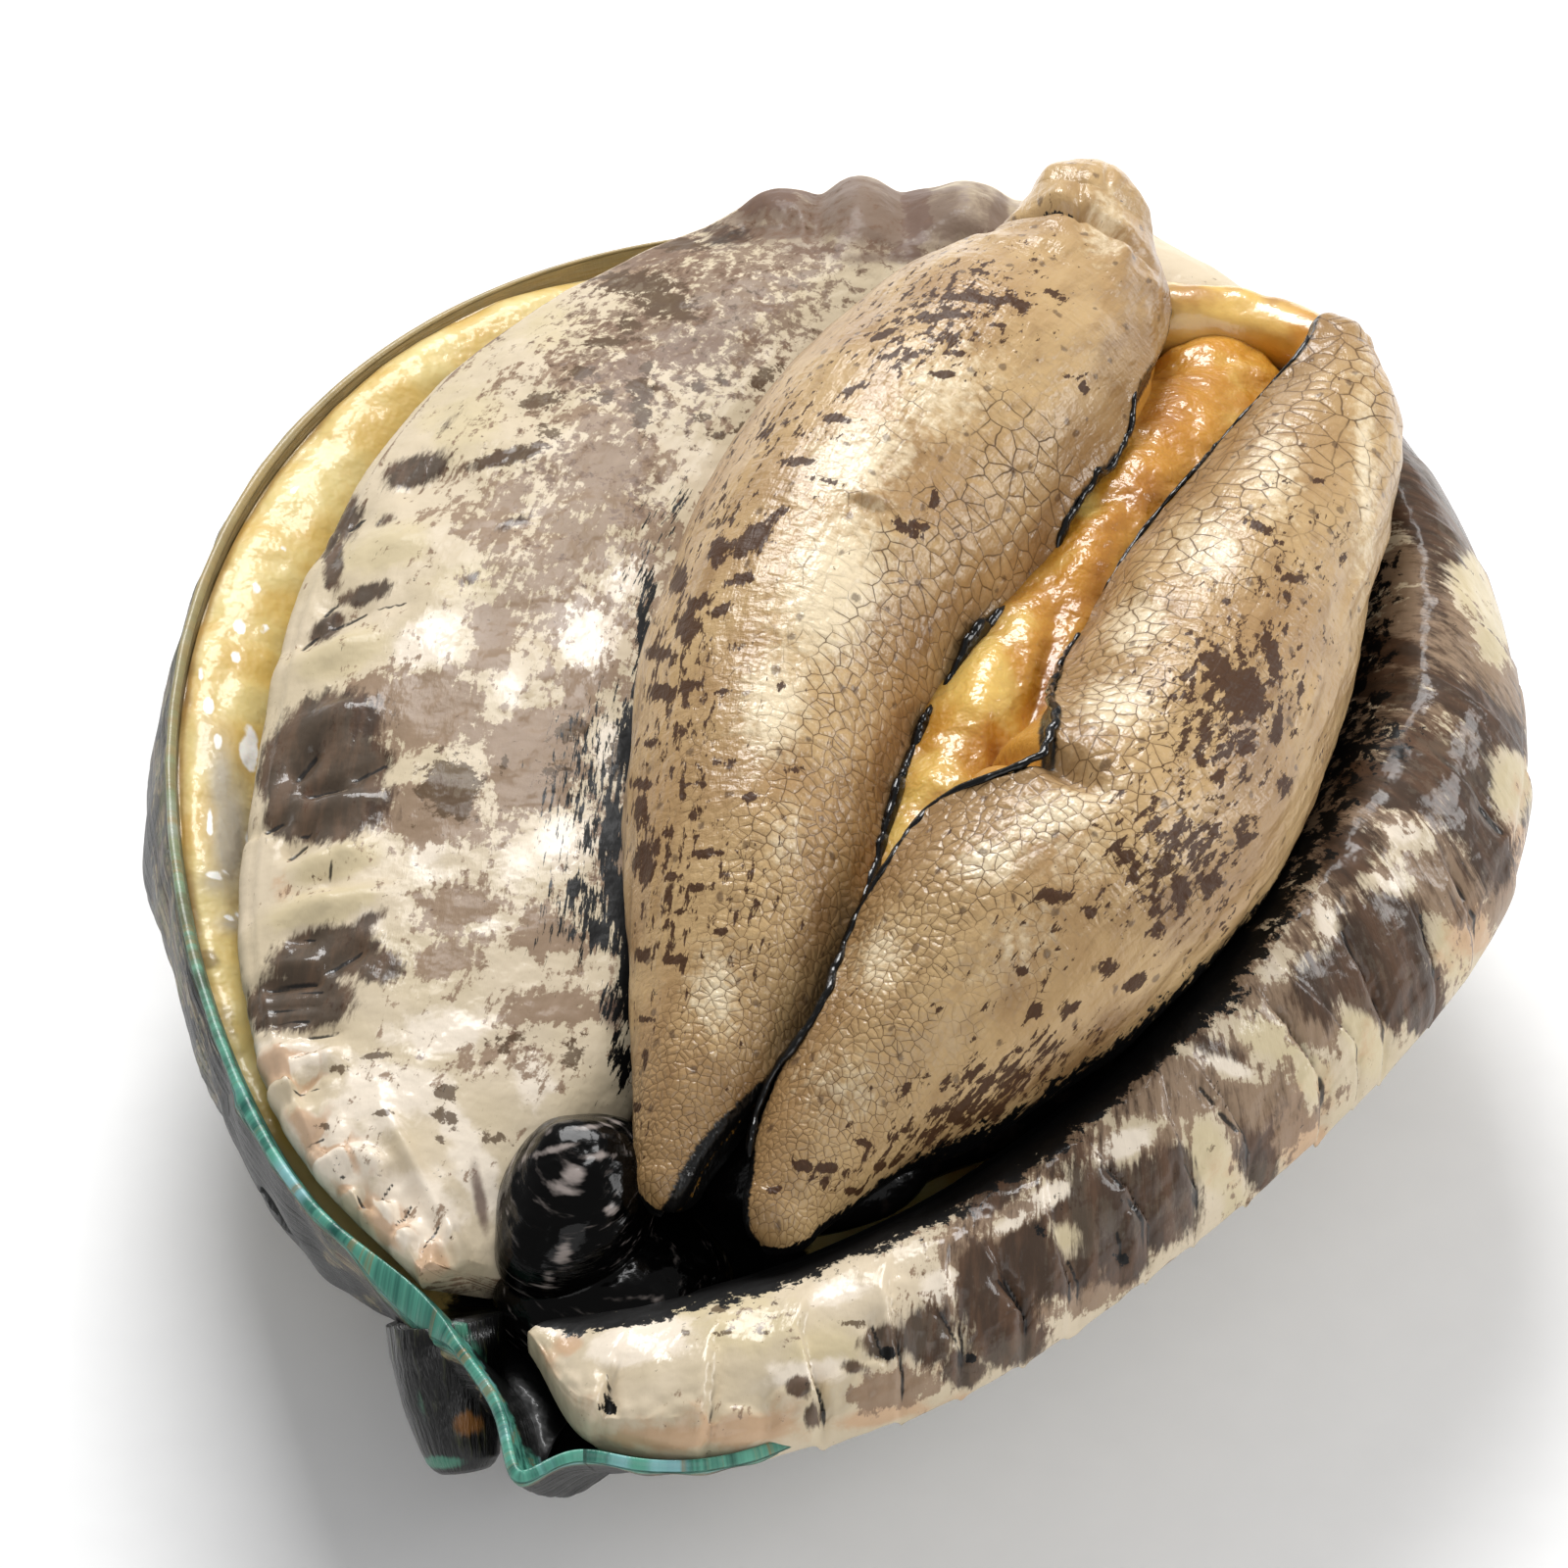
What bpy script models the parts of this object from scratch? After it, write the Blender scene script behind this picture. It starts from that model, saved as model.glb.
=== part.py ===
"""A raw abalone lying foot up in its shell.

The ear-shaped shell rests on the flat spot under its dome. The mantle lines it, the frilled skirt
goes round on the mantle and over the right rim, and the foot, folded along its middle into two
lobes with the bare sole between them, lies in the skirt. The black head is at the front, -Y.
Sizes are millimetres, and MM turns them into Blender's metres.
"""
import bpy
import bmesh
import numpy as np
from math import pi, radians
from mathutils import Vector

MM = 0.001
GAP = 0.35          # clearance between neighbours
WELD_REACH = 0.02
FULL_TURN = 2 * pi

# Shell: rim angles run from the front, -Y, by the right, +X, to the rear and the left
RIM_HALF_WIDTH = 36.4
RIM_HALF_LENGTH = 50.8
RIM_CENTRE = (0.6, 0.2)
RIM_TURN = radians(7.5)
RIM_EGG = 0.21      # how much narrower the front is
RIM_HEIGHT = 25.0
DROP, DROP_ANGLE, DROP_SPREAD = 3.0, radians(85), radians(75)     # lower under the skirt
# Bulges and dents of the rim: ring angle, spread and how far out
RIM_BENDS = ((radians(345), radians(3.6), 3.3), (radians(328), radians(11), -2.4),
             (radians(36), radians(25), -6.4), (radians(75), radians(25), -1.5))
FRONT_ANGLE = radians(342)
WALL = 1.2
REST = 0.18         # flat spot under the dome, as a share of the rim
CROWDING = 0.5      # how strongly points of the rim gather at the front
DROP_REACH = 1.5    # makes the low stretch of the rim level
SIDE_ANGLE, SIDE_SPREAD = radians(275), radians(62)
SHALLOW, STEEP = 1.55, 5.0
# Ridge that carries the pores, highest at a little over half the way up the wall
KEEL_OUT, KEEL_ANGLE, KEEL_SPREAD, KEEL_LIFT = 3.9, radians(262), radians(36), 1.3
RIB_DEPTH, RIB_COUNT, RIB_TWIST = 0.4, 13, 4.0
APEX, APEX_RADIUS, APEX_RISE = (17.0, 28.0), 11.0, 1.8

# Breathing pores: ring angle, height on the wall, radius there, how far the tube stands out,
# and its lean forwards and downwards for each step outwards
PORES = ((radians(330.5), 21.0, 3.1, 6.6, 0.75, 1.5), (radians(307), 18.3, 4.9, 1.0, 0.9, 1.1),
         (radians(290), 17.0, 3.0, 0.4, 0.8, 0.8), (radians(275), 16.6, 2.4, 0.2, 0.4, 0.5),
         (radians(263), 16.4, 2.0, 0.2, 0.4, 0.5))
# Shape of a pore tube: share of its height and of its radius
PORE_PROFILE = ((0.0, 1.0), (0.5, 0.86), (0.82, 0.72), (0.97, 0.52))
PORE_SUNK = 4.0     # how deep a tube's flat end lies before the dome is hollowed
BORE = 0.34         # bore radius as a share of the tube's
BORE_INWARDS = 5.5
# Slot of the newest pore: where it is, its radius at the rim, its depth and its flare
SLOT_ANGLE, SLOT_HALF, SLOT_DEPTH, SLOT_FLARE = radians(340.5), 2.2, 3.8, 0.7

# Foot lobes: x, y, z of the middle line and the radius there, front to rear
LEFT_LOBE = ((2.6, -32.4, 27.4, 2.0), (2.6, -25.5, 29.4, 4.2), (2.1, -17.3, 31.3, 6.1),
             (0.8, -8.9, 32.6, 7.3), (0.0, 0.5, 33.3, 8.4), (1.6, 12.3, 33.5, 9.8),
             (4.9, 24.3, 33.8, 9.8), (7.4, 33.4, 35.0, 7.0), (7.8, 39.8, 37.0, 3.7))
RIGHT_LOBE = ((8.6, -32.6, 27.0, 2.4), (10.7, -26.3, 28.6, 4.7), (14.0, -20.4, 30.0, 6.6),
              (16.6, -14.8, 31.3, 8.15), (19.5, -8.3, 32.0, 8.5), (21.8, -1.6, 32.0, 8.2),
              (22.8, 5.4, 32.2, 7.8), (23.4, 14.0, 32.8, 6.9), (24.4, 22.6, 33.3, 5.4),
              (25.0, 29.0, 34.0, 4.0), (24.2, 34.4, 34.8, 2.4))
FOOT_BASE = ((8.0, -25.0, 24.6, 7.0), (10.0, -12.0, 24.2, 14.0), (11.0, 4.0, 24.2, 15.0),
             (12.0, 18.0, 24.4, 15.0), (13.0, 27.0, 25.4, 12.5), (14.0, 32.0, 26.8, 8.0))
BASE_FLAT = 0.44
REAR_WALL = ((9.6, 36.0, 32.4, 2.6), (13.6, 37.6, 32.4, 2.3), (18.6, 38.2, 32.5, 2.1),
             (23.0, 36.4, 33.0, 2.0), (25.0, 32.2, 33.0, 2.0))
SOLE = ((8.8, -14.5, 31.4, 3.0), (10.6, -8.0, 31.8, 5.0), (12.0, 1.5, 32.0, 6.4),
        (13.2, 10.0, 32.0, 6.4), (14.6, 18.0, 32.0, 6.8), (16.4, 26.0, 31.4, 7.4),
        (17.4, 32.8, 31.6, 5.0))
SOLE_FLAT = 0.55

# Head: centre and half sizes of the snout and of the flesh that slopes to the last pore
SNOUT = ((-2.6, -33.4, 24.4), (4.5, 6.2, 5.2))
NECK = ((0.2, -36.2, 21.8), (6.4, 6.6, 3.4))

# Skirt, by sections from the front round the right: the outermost point of the margin,
# the inner edge, how far the back arches over the line between them, and margin thickness
SKIRT = ((-2.6, -42.8, 24.2, -1.6, -40.8, 24.2, 0.3, 1.8),
         (2.6, -48.0, 24.0, 4.6, -37.4, 24.2, 1.8, 2.8),
         (10.8, -46.6, 23.9, 10.6, -33.0, 24.4, 2.6, 3.0),
         (20.6, -37.6, 22.8, 17.6, -25.4, 24.8, 3.6, 3.6),
         (28.8, -23.8, 21.6, 24.0, -13.4, 25.0, 4.6, 4.2),
         (37.2, -6.2, 21.0, 27.6, 0.6, 25.2, 4.8, 4.4),
         (40.9, 10.0, 20.8, 29.0, 13.0, 25.6, 4.8, 4.4),
         (36.6, 26.4, 21.4, 27.0, 27.0, 26.6, 4.4, 4.4),
         (26.2, 40.2, 23.8, 20.0, 35.0, 28.0, 3.2, 4.2),
         (9.0, 48.8, 27.6, 8.0, 39.6, 29.0, 2.6, 4.2),
         (-8.6, 48.0, 28.0, -0.6, 36.4, 30.2, 2.2, 4.2),
         (-20.6, 39.8, 26.8, -5.0, 27.4, 30.4, 2.6, 3.2),
         (-28.8, 27.0, 26.2, -8.0, 14.0, 30.4, 2.6, 2.8),
         (-31.4, 10.0, 25.8, -8.0, 1.0, 30.2, 2.4, 2.6),
         (-29.4, -6.0, 25.6, -6.0, -10.0, 30.0, 2.0, 2.4),
         (-25.8, -20.6, 25.2, -4.0, -21.0, 29.0, 1.4, 2.4),
         (-19.0, -32.6, 25.0, -4.6, -30.0, 27.0, 0.8, 2.2),
         (-9.2, -40.4, 24.6, -6.0, -38.0, 24.0, 0.2, 1.6))
SKIRT_SECTIONS = 140
# How closely the sections lie along it
SECTION_SHARES = (0.0, 0.08, 0.44, 0.62, 0.72, 1.0)
SECTION_DENSITY = (1.1, 1.5, 1.4, 1.2, 0.8, 0.9)
SKIRT_FLOOR = 18.4  # its underside away from the margin
UNDER_SLOPE = 0.62
UPPER_STEPS = (0.0, 0.14, 0.3, 0.5, 0.7, 0.86, 0.95)
RELIEF_SHARES, RELIEF_POWERS = (0.0, 0.6, 0.68, 1.0), (1.5, 1.5, 4.0, 4.0)
UNDER_STEPS = (0.94, 0.75, 0.45, 0.05)
# Pleats of the right margin and lumps of the rear one: pitch, depth, and how far and how
# quickly their spacing drifts along the margin
PLEAT_PITCH, PLEAT_DEPTH, PLEAT_DRIFT, PLEAT_DRIFT_PITCH = 5.6, 0.7, 1.1, 13.0
LUMP_PITCH, LUMP_DEPTH, LUMP_DRIFT, LUMP_DRIFT_PITCH = 7.5, 1.1, 0.8, 9.0
TIP_RISE, TIP_OUT = 0.4, 0.35   # share of the relief that lifts the margin and pushes it out
# Deep folds of the left margin: share of the way round, spread and depth
FOLDS = ((0.722, 0.007, 0.9), (0.755, 0.007, 1.2), (0.794, 0.006, 1.3), (0.835, 0.006, 1.2),
         (0.852, 0.006, 1.5), (0.869, 0.006, 1.3), (0.913, 0.007, 1.4), (0.960, 0.005, 0.8))

# Mantle: its floor, and by ring angle in degrees how high it reaches up the wall and how wide
# the roll on top of it is
MANTLE_FLOOR = 17.4
MANTLE_INSET = WALL + 1.3 * GAP
MANTLE_MIDDLE = (2.0, 1.0, MANTLE_FLOOR)
BELOW_RIM = 0.4     # the roll stays this much under the rim
ROLL_ANGLES = (0.0, 150.0, 165.0, 185.0, 215.0, 278.0, 290.0, 322.0, 332.0, 345.0, 353.0, 360.0)
ROLL_TOPS = (16.0, 16.0, 17.0, 22.0, 24.4, 24.6, 22.8, 19.6, 19.2, 20.2, 16.4, 16.0)
ROLL_WIDTHS = (0.8, 0.8, 0.8, 0.8, 0.8, 0.35, 0.5, 0.6, 0.7, 0.8, 0.8, 0.8)
WIDE_ANGLE, WIDE_SPREAD, WIDE = radians(250), radians(30), 0.65
ROLL_STEPS = ((1.6, 1.06), (3.6, 0.98), (5.6, 0.75), (8.5, 0.3), (12.0, 0.0))

MATERIALS = {
    "shell": ((0.10, 0.33, 0.30), 0.30, 0.15),
    "mantle": ((0.78, 0.60, 0.22), 0.30, 0.0),
    "skirt": ((0.56, 0.50, 0.42), 0.30, 0.0),
    "foot": ((0.60, 0.44, 0.24), 0.35, 0.0),
    "sole": ((0.78, 0.46, 0.10), 0.28, 0.0),
    "head": ((0.015, 0.014, 0.014), 0.20, 0.0),
}


def smooth_rows(points, count):
    """Rows of numbers along a smooth curve through the given rows."""
    rows = np.asarray(points, float)
    padded = np.vstack([2 * rows[0] - rows[1], rows, 2 * rows[-1] - rows[-2]])
    place = np.linspace(0, len(rows) - 1, count)
    index = np.minimum(place.astype(int), len(rows) - 2)
    part = (place - index)[:, None]
    before, start, end, after = (padded[index + k] for k in range(4))
    return 0.5 * (2 * start + (end - before) * part
                  + (2 * before - 5 * start + 4 * end - after) * part ** 2
                  + (3 * start - before - 3 * end + after) * part ** 3)


def closeness(angle, centre, spread):
    """1 at the centre angle, falling smoothly to 0 a few spreads away."""
    away = (angle - centre + pi) % FULL_TURN - pi
    return np.exp(-(away / spread) ** 2)


def pushed(grid, distance):
    """Rings of points moved outwards along the surface they lie on."""
    along = np.gradient(grid, axis=0)
    across = np.roll(grid, -1, axis=1) - np.roll(grid, 1, axis=1)
    normal = np.cross(along, across)
    normal /= np.linalg.norm(normal, axis=2, keepdims=True) + 1e-9
    middle = grid.mean(axis=1, keepdims=True)
    facing = np.sign(((grid - middle) * normal).sum(axis=(1, 2)).sum())
    return grid + normal * distance * facing


def mesh_object(name, points, faces, collection):
    """A mesh object from points in millimetres, its faces turned outwards."""
    mesh = bpy.data.meshes.new(name)
    mesh.from_pydata([tuple(p) for p in np.asarray(points) * MM], [], faces)
    sculpt = bmesh.new()
    sculpt.from_mesh(mesh)
    bmesh.ops.recalc_face_normals(sculpt, faces=sculpt.faces)
    sculpt.to_mesh(mesh)
    sculpt.free()
    mesh.shade_smooth()
    made = bpy.data.objects.new(name, mesh)
    collection.objects.link(made)
    return made


def loft(name, rings, poles, collection):
    """A surface over closed rings of points. A pole closes an end that isn't left open."""
    count, around = rings.shape[:2]
    points = rings.reshape(-1, 3).tolist()
    faces = []
    for i in range(count - 1):
        for j in range(around):
            k = (j + 1) % around
            faces.append((i * around + j, i * around + k,
                          (i + 1) * around + k, (i + 1) * around + j))
    for pole, row in zip(poles, (0, count - 1)):
        if pole is None:
            continue
        points.append(list(pole))
        for j in range(around):
            faces.append((row * around + j, row * around + (j + 1) % around, len(points) - 1))
    return mesh_object(name, points, faces, collection)


def tube(name, stations, collection, along=22, around=16, flat=1.0, grow=0.0):
    """A closed tube with rounded ends along stations of x, y, z and radius."""
    rows = smooth_rows(stations, 200)
    middle, radius = rows[:, :3], rows[:, 3]
    reach = np.concatenate([[0], np.cumsum(np.linalg.norm(np.diff(middle, axis=0), axis=1))])
    first, last = radius[0], radius[-1]
    # Rings crowd together at the ends, where the tube rounds off
    share = 0.5 - 0.5 * np.cos(pi * np.linspace(0.0, 1.0, along + 2)[1:-1])
    place = -first + share * (reach[-1] + first + last)
    tangent = np.gradient(middle, axis=0)
    tangent /= np.linalg.norm(tangent, axis=1)[:, None]
    centre = np.stack([np.interp(place, reach, middle[:, k]) for k in range(3)], 1)
    heading = np.stack([np.interp(place, reach, tangent[:, k]) for k in range(3)], 1)
    beyond = np.where(place < 0, place, np.maximum(place - reach[-1], 0))
    centre += heading * beyond[:, None]
    over = beyond / np.where(place < 0, first, last)
    size = np.interp(place, reach, radius) * np.sqrt(np.maximum(1 - over ** 2, 0)) + grow
    side = np.cross(heading, (0, 0, 1))
    side /= np.linalg.norm(side, axis=1)[:, None]
    up = np.cross(side, heading)
    turn = np.arange(around) * FULL_TURN / around
    rings = (centre[:, None] + size[:, None, None]
             * (np.cos(turn)[None, :, None] * side[:, None]
                + flat * np.sin(turn)[None, :, None] * up[:, None]))
    poles = (middle[0] - tangent[0] * (first + grow), middle[-1] + tangent[-1] * (last + grow))
    return loft(name, rings, poles, collection)


def ball(name, centre, half, collection, grow=0.0):
    """An ellipsoid of the given centre and half sizes."""
    mesh = bpy.data.meshes.new(name)
    shape = bmesh.new()
    bmesh.ops.create_uvsphere(shape, u_segments=18, v_segments=10, radius=1.0)
    bmesh.ops.scale(shape, vec=[(h + grow) * MM for h in half], verts=shape.verts)
    bmesh.ops.translate(shape, vec=[c * MM for c in centre], verts=shape.verts)
    shape.to_mesh(mesh)
    shape.free()
    mesh.shade_smooth()
    made = bpy.data.objects.new(name, mesh)
    collection.objects.link(made)
    return made


def cone(name, start, end, radii, collection):
    """A tapered round bar between two points, with closed ends."""
    axis = Vector(end) - Vector(start)
    mesh = bpy.data.meshes.new(name)
    shape = bmesh.new()
    bmesh.ops.create_cone(shape, cap_ends=True, cap_tris=False, segments=16,
                          radius1=radii[0] * MM, radius2=radii[1] * MM, depth=axis.length * MM)
    shape.to_mesh(mesh)
    shape.free()
    made = bpy.data.objects.new(name, mesh)
    made.rotation_mode = "QUATERNION"
    made.rotation_quaternion = axis.to_track_quat("Z", "Y")
    made.location = (Vector(start) + axis / 2) * MM
    collection.objects.link(made)
    return made


def combine(target, others, operation):
    """Live Boolean modifiers of the others on the target."""
    for other in others:
        step = target.modifiers.new(other.name, "BOOLEAN")
        step.operation = operation
        step.solver = "EXACT"
        step.object = other


def weld(target):
    """Merges the points that a cut leaves a hair's breadth apart."""
    merge = target.modifiers.new("Weld", "WELD")
    merge.merge_threshold = WELD_REACH * MM


def rim(angle):
    """x, y and z of the shell's rim."""
    x = RIM_HALF_WIDTH * np.sin(angle) * (1 - RIM_EGG * np.cos(angle))
    y = -RIM_HALF_LENGTH * np.cos(angle)
    x, y = (RIM_CENTRE[0] + x * np.cos(RIM_TURN) - y * np.sin(RIM_TURN),
            RIM_CENTRE[1] + x * np.sin(RIM_TURN) + y * np.cos(RIM_TURN))
    out = sum(size * closeness(angle, centre, spread) for centre, spread, size in RIM_BENDS)
    stretch = 1 + out / np.hypot(x, y)
    z = RIM_HEIGHT - DROP * np.minimum(1, DROP_REACH * closeness(angle, DROP_ANGLE, DROP_SPREAD))
    return x * stretch, y * stretch, z


def bowl(angle, climb):
    """The outside of the shell: climb goes from 0, the edge of the flat spot, to 1, the rim."""
    x, y, top = rim(angle)
    side = closeness(angle, SIDE_ANGLE, SIDE_SPREAD)
    reach = 1 - (1 - climb) ** (1 + side)
    level = reach ** (SHALLOW + (STEEP - SHALLOW) * side)
    share = REST + (1 - REST) * reach
    radius = np.hypot(x, y)
    keel = KEEL_OUT * closeness(angle, KEEL_ANGLE, KEEL_SPREAD) * np.sin(pi * level ** KEEL_LIFT)
    rib = RIB_DEPTH * np.sin(RIB_COUNT * angle + RIB_TWIST * climb) * np.sin(pi * climb) ** 2
    share = share + (keel + rib) / radius
    away = np.hypot(x * share - APEX[0], y * share - APEX[1]) / APEX_RADIUS
    spire = APEX_RISE * np.exp(-away ** 4) * np.sin(pi * climb) ** 2
    return np.stack([x * share, y * share, top * level - spire], -1)


def bowl_rings(angle, climbs):
    """Rings of the outside of the shell, the flat spot's own edge first."""
    return np.stack([bowl(angle, climb) for climb in climbs])


def rim_angles(count):
    """Angles round the rim, closer together at the front where the pores and the slot are."""
    even = np.arange(count) * FULL_TURN / count
    return even - CROWDING * np.sin(even - FRONT_ANGLE)


def wall_point(angle, height):
    """The point of the shell's outside at a ring angle and a height."""
    wall = np.array([bowl(angle, climb) for climb in np.linspace(0, 1, 80)])
    return Vector(wall[np.argmin(np.abs(wall[:, 2] - height))])


def pore(name, root, axis, radius, reach, collection, around=12):
    """The raised tube round a breathing pore, its flat end sunk into the wall."""
    side = axis.cross(Vector((0, 0, 1))).normalized()
    up = side.cross(axis)
    turn = np.arange(around) * FULL_TURN / around
    circle = np.cos(turn)[:, None] * np.array(side) + np.sin(turn)[:, None] * np.array(up)
    base = root - axis * PORE_SUNK
    rings = [np.array(base) + circle * radius]
    for height, size in PORE_PROFILE:
        rings.append(np.array(root + axis * reach * height) + circle * radius * size)
    return loft(name, np.stack(rings), (tuple(base), tuple(root + axis * reach)), collection)


def shell(abalone, helpers, around=66, rows=11):
    """The thin dome with its row of raised pores and the open slot of the newest one."""
    outside = bowl_rings(rim_angles(around), np.linspace(0, 1, rows))
    made = loft("shell", outside, ((0, 0, 0), (0, 0, RIM_HEIGHT - DROP / 2)), abalone)
    inside = pushed(outside, -WALL)
    above = inside[-1:] + (0, 0, WALL * 4)
    hollow = loft("hollow", np.concatenate([inside, above]),
                  ((0, 0, WALL), (0, 0, RIM_HEIGHT + WALL * 4)), helpers)
    raised, bored = [], []
    for number, (turn, height, radius, reach, forward, down) in enumerate(PORES):
        root = wall_point(turn, height)
        out = Vector((root.x, root.y, 0)).normalized()
        ahead = Vector((-out.y, out.x, 0))
        axis = (out + ahead * forward - Vector((0, 0, down))).normalized()
        raised.append(pore(f"pore_{number}", root, axis, radius, reach, helpers))
        bored.append(cone(f"bore_{number}", root - axis * BORE_INWARDS, root + axis * (reach + 1),
                          (radius * BORE, radius * BORE), helpers))
    x, y, top = rim(SLOT_ANGLE)
    bored.append(cone("slot", (x, y, top - SLOT_DEPTH), (x, y, top + SLOT_DEPTH),
                      (SLOT_HALF * (1 - SLOT_FLARE), SLOT_HALF * (1 + SLOT_FLARE)), helpers))
    combine(made, raised, "UNION")
    combine(made, [hollow] + bored, "DIFFERENCE")
    weld(made)
    return made


def shell_room(helpers, around=66, rows=11):
    """The shell's wall with clearance all round, for cutting its seat into the skirt."""
    rings = pushed(bowl_rings(rim_angles(around), np.linspace(0, 1, rows)), GAP)
    upwards = rings[-1] - rings[-2]
    rings[-1] += upwards / np.linalg.norm(upwards, axis=1)[:, None] * GAP * 1.5
    made = loft("shell_room", rings, ((0, 0, -GAP), None), helpers)
    thicken = made.modifiers.new("Wall", "SOLIDIFY")
    thicken.thickness = (WALL + 2 * GAP) * MM
    thicken.offset = -1.0
    return made


def mantle(abalone, around=48, rows=6):
    """The lining of the shell, up to the roll along its left wall."""
    angle = rim_angles(around)
    top = rim(angle)[2]
    degrees = np.degrees(angle) % 360
    wall_top = np.minimum(np.interp(degrees, ROLL_ANGLES, ROLL_TOPS), top - BELOW_RIM)
    width = (np.interp(degrees, ROLL_ANGLES, ROLL_WIDTHS)
             + WIDE * closeness(angle, WIDE_ANGLE, WIDE_SPREAD))
    side = closeness(angle, SIDE_ANGLE, SIDE_SPREAD)
    reach = (wall_top / top) ** (1 / (SHALLOW + (STEEP - SHALLOW) * side))
    limit = 1 - (1 - reach) ** (1 / (1 + side))
    outside = np.stack([bowl(angle, limit * share) for share in np.linspace(0, 1, rows)])
    rings = pushed(outside, -MANTLE_INSET)
    edge = rings[-1]
    inwards = edge[:, :2] / np.linalg.norm(edge[:, :2], axis=1)[:, None]
    upper = []
    for distance, rise in ROLL_STEPS:
        plan = edge[:, :2] - inwards * (distance * width)[:, None]
        height = MANTLE_FLOOR + (edge[:, 2] - MANTLE_FLOOR) * rise
        upper.append(np.column_stack([plan, height]))
    rings = np.concatenate([rings, np.stack(upper)])
    return loft("mantle", rings, ((0, 0, WALL + GAP), MANTLE_MIDDLE), abalone)


def skirt_rings(sections=SKIRT_SECTIONS):
    """Closed sections of the skirt, from the front round the right to the front left."""
    rows = smooth_rows(SKIRT, 2000)
    length = np.concatenate([[0], np.cumsum(np.linalg.norm(np.diff(rows[:, :2], axis=0), axis=1))])
    crowd = np.cumsum(np.interp(np.linspace(0, 1, 2000), SECTION_SHARES, SECTION_DENSITY))
    share = np.interp(np.linspace(crowd[0], crowd[-1], sections), crowd, np.linspace(0, 1, 2000))
    place = share * length[-1]
    rows = np.stack([np.interp(place, length, rows[:, k]) for k in range(rows.shape[1])], 1)
    outer, inner, arch, thick = rows[:, 0:3], rows[:, 3:6], rows[:, 6], rows[:, 7]
    pleat = np.sin(FULL_TURN * place / PLEAT_PITCH + PLEAT_DRIFT * np.sin(place / PLEAT_DRIFT_PITCH))
    right = np.interp(share, (0.0, 0.06, 0.14, 0.42, 0.5), (0.0, 0.5, 1.0, 1.0, 0.0))
    lump = np.sin(FULL_TURN * place / LUMP_PITCH + LUMP_DRIFT * np.sin(place / LUMP_DRIFT_PITCH))
    rear = np.interp(share, (0.42, 0.48, 0.62, 0.68), (0.0, 1.0, 1.0, 0.0))
    fold = sum(depth * np.exp(-((share - centre) / spread) ** 2) for centre, spread, depth in FOLDS)
    relief = PLEAT_DEPTH * pleat * right + LUMP_DEPTH * lump * rear - fold
    fading = np.interp(share, RELIEF_SHARES, RELIEF_POWERS)
    width = np.linalg.norm(outer[:, :2] - inner[:, :2], axis=1)
    sections_made = []
    for u in UPPER_STEPS:
        height = inner[:, 2] + (outer[:, 2] + thick / 2 - inner[:, 2]) * u + arch * 4 * u * (1 - u)
        height += relief * u ** fading
        plan = inner[:, :2] + (outer[:, :2] - inner[:, :2]) * u
        sections_made.append(np.column_stack([plan, height]))
    tip = outer.copy()
    tip[:, 2] += TIP_RISE * relief
    tip[:, :2] += (outer[:, :2] - inner[:, :2]) * (TIP_OUT * relief / width)[:, None]
    sections_made.append(tip)
    for u in UNDER_STEPS:
        depth = outer[:, 2] - thick / 2 - UNDER_SLOPE * width * (UNDER_STEPS[0] - u)
        depth = np.maximum(depth, SKIRT_FLOOR)
        plan = inner[:, :2] + (outer[:, :2] - inner[:, :2]) * u
        sections_made.append(np.column_stack([plan, depth]))
    return np.stack(sections_made, 1)


def skirt(abalone):
    """The mottled flap round the foot, pleated on the right, lumpy at the rear, folded left."""
    rings = skirt_rings()
    ends = [ring.mean(axis=0) for ring in (rings[0], rings[-1])]
    return loft("skirt", rings, ends, abalone)


def paint(made):
    """A plain material of the piece's own colour, roughness and metallic value."""
    colour, roughness, metallic = MATERIALS[made.name]
    material = bpy.data.materials.new(made.name)
    material.use_nodes = True
    surface = material.node_tree.nodes["Principled BSDF"]
    surface.inputs["Base Color"].default_value = (*colour, 1.0)
    surface.inputs["Roughness"].default_value = roughness
    surface.inputs["Metallic"].default_value = metallic
    material.diffuse_color = (*colour, 1.0)
    made.data.materials.append(material)


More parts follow.
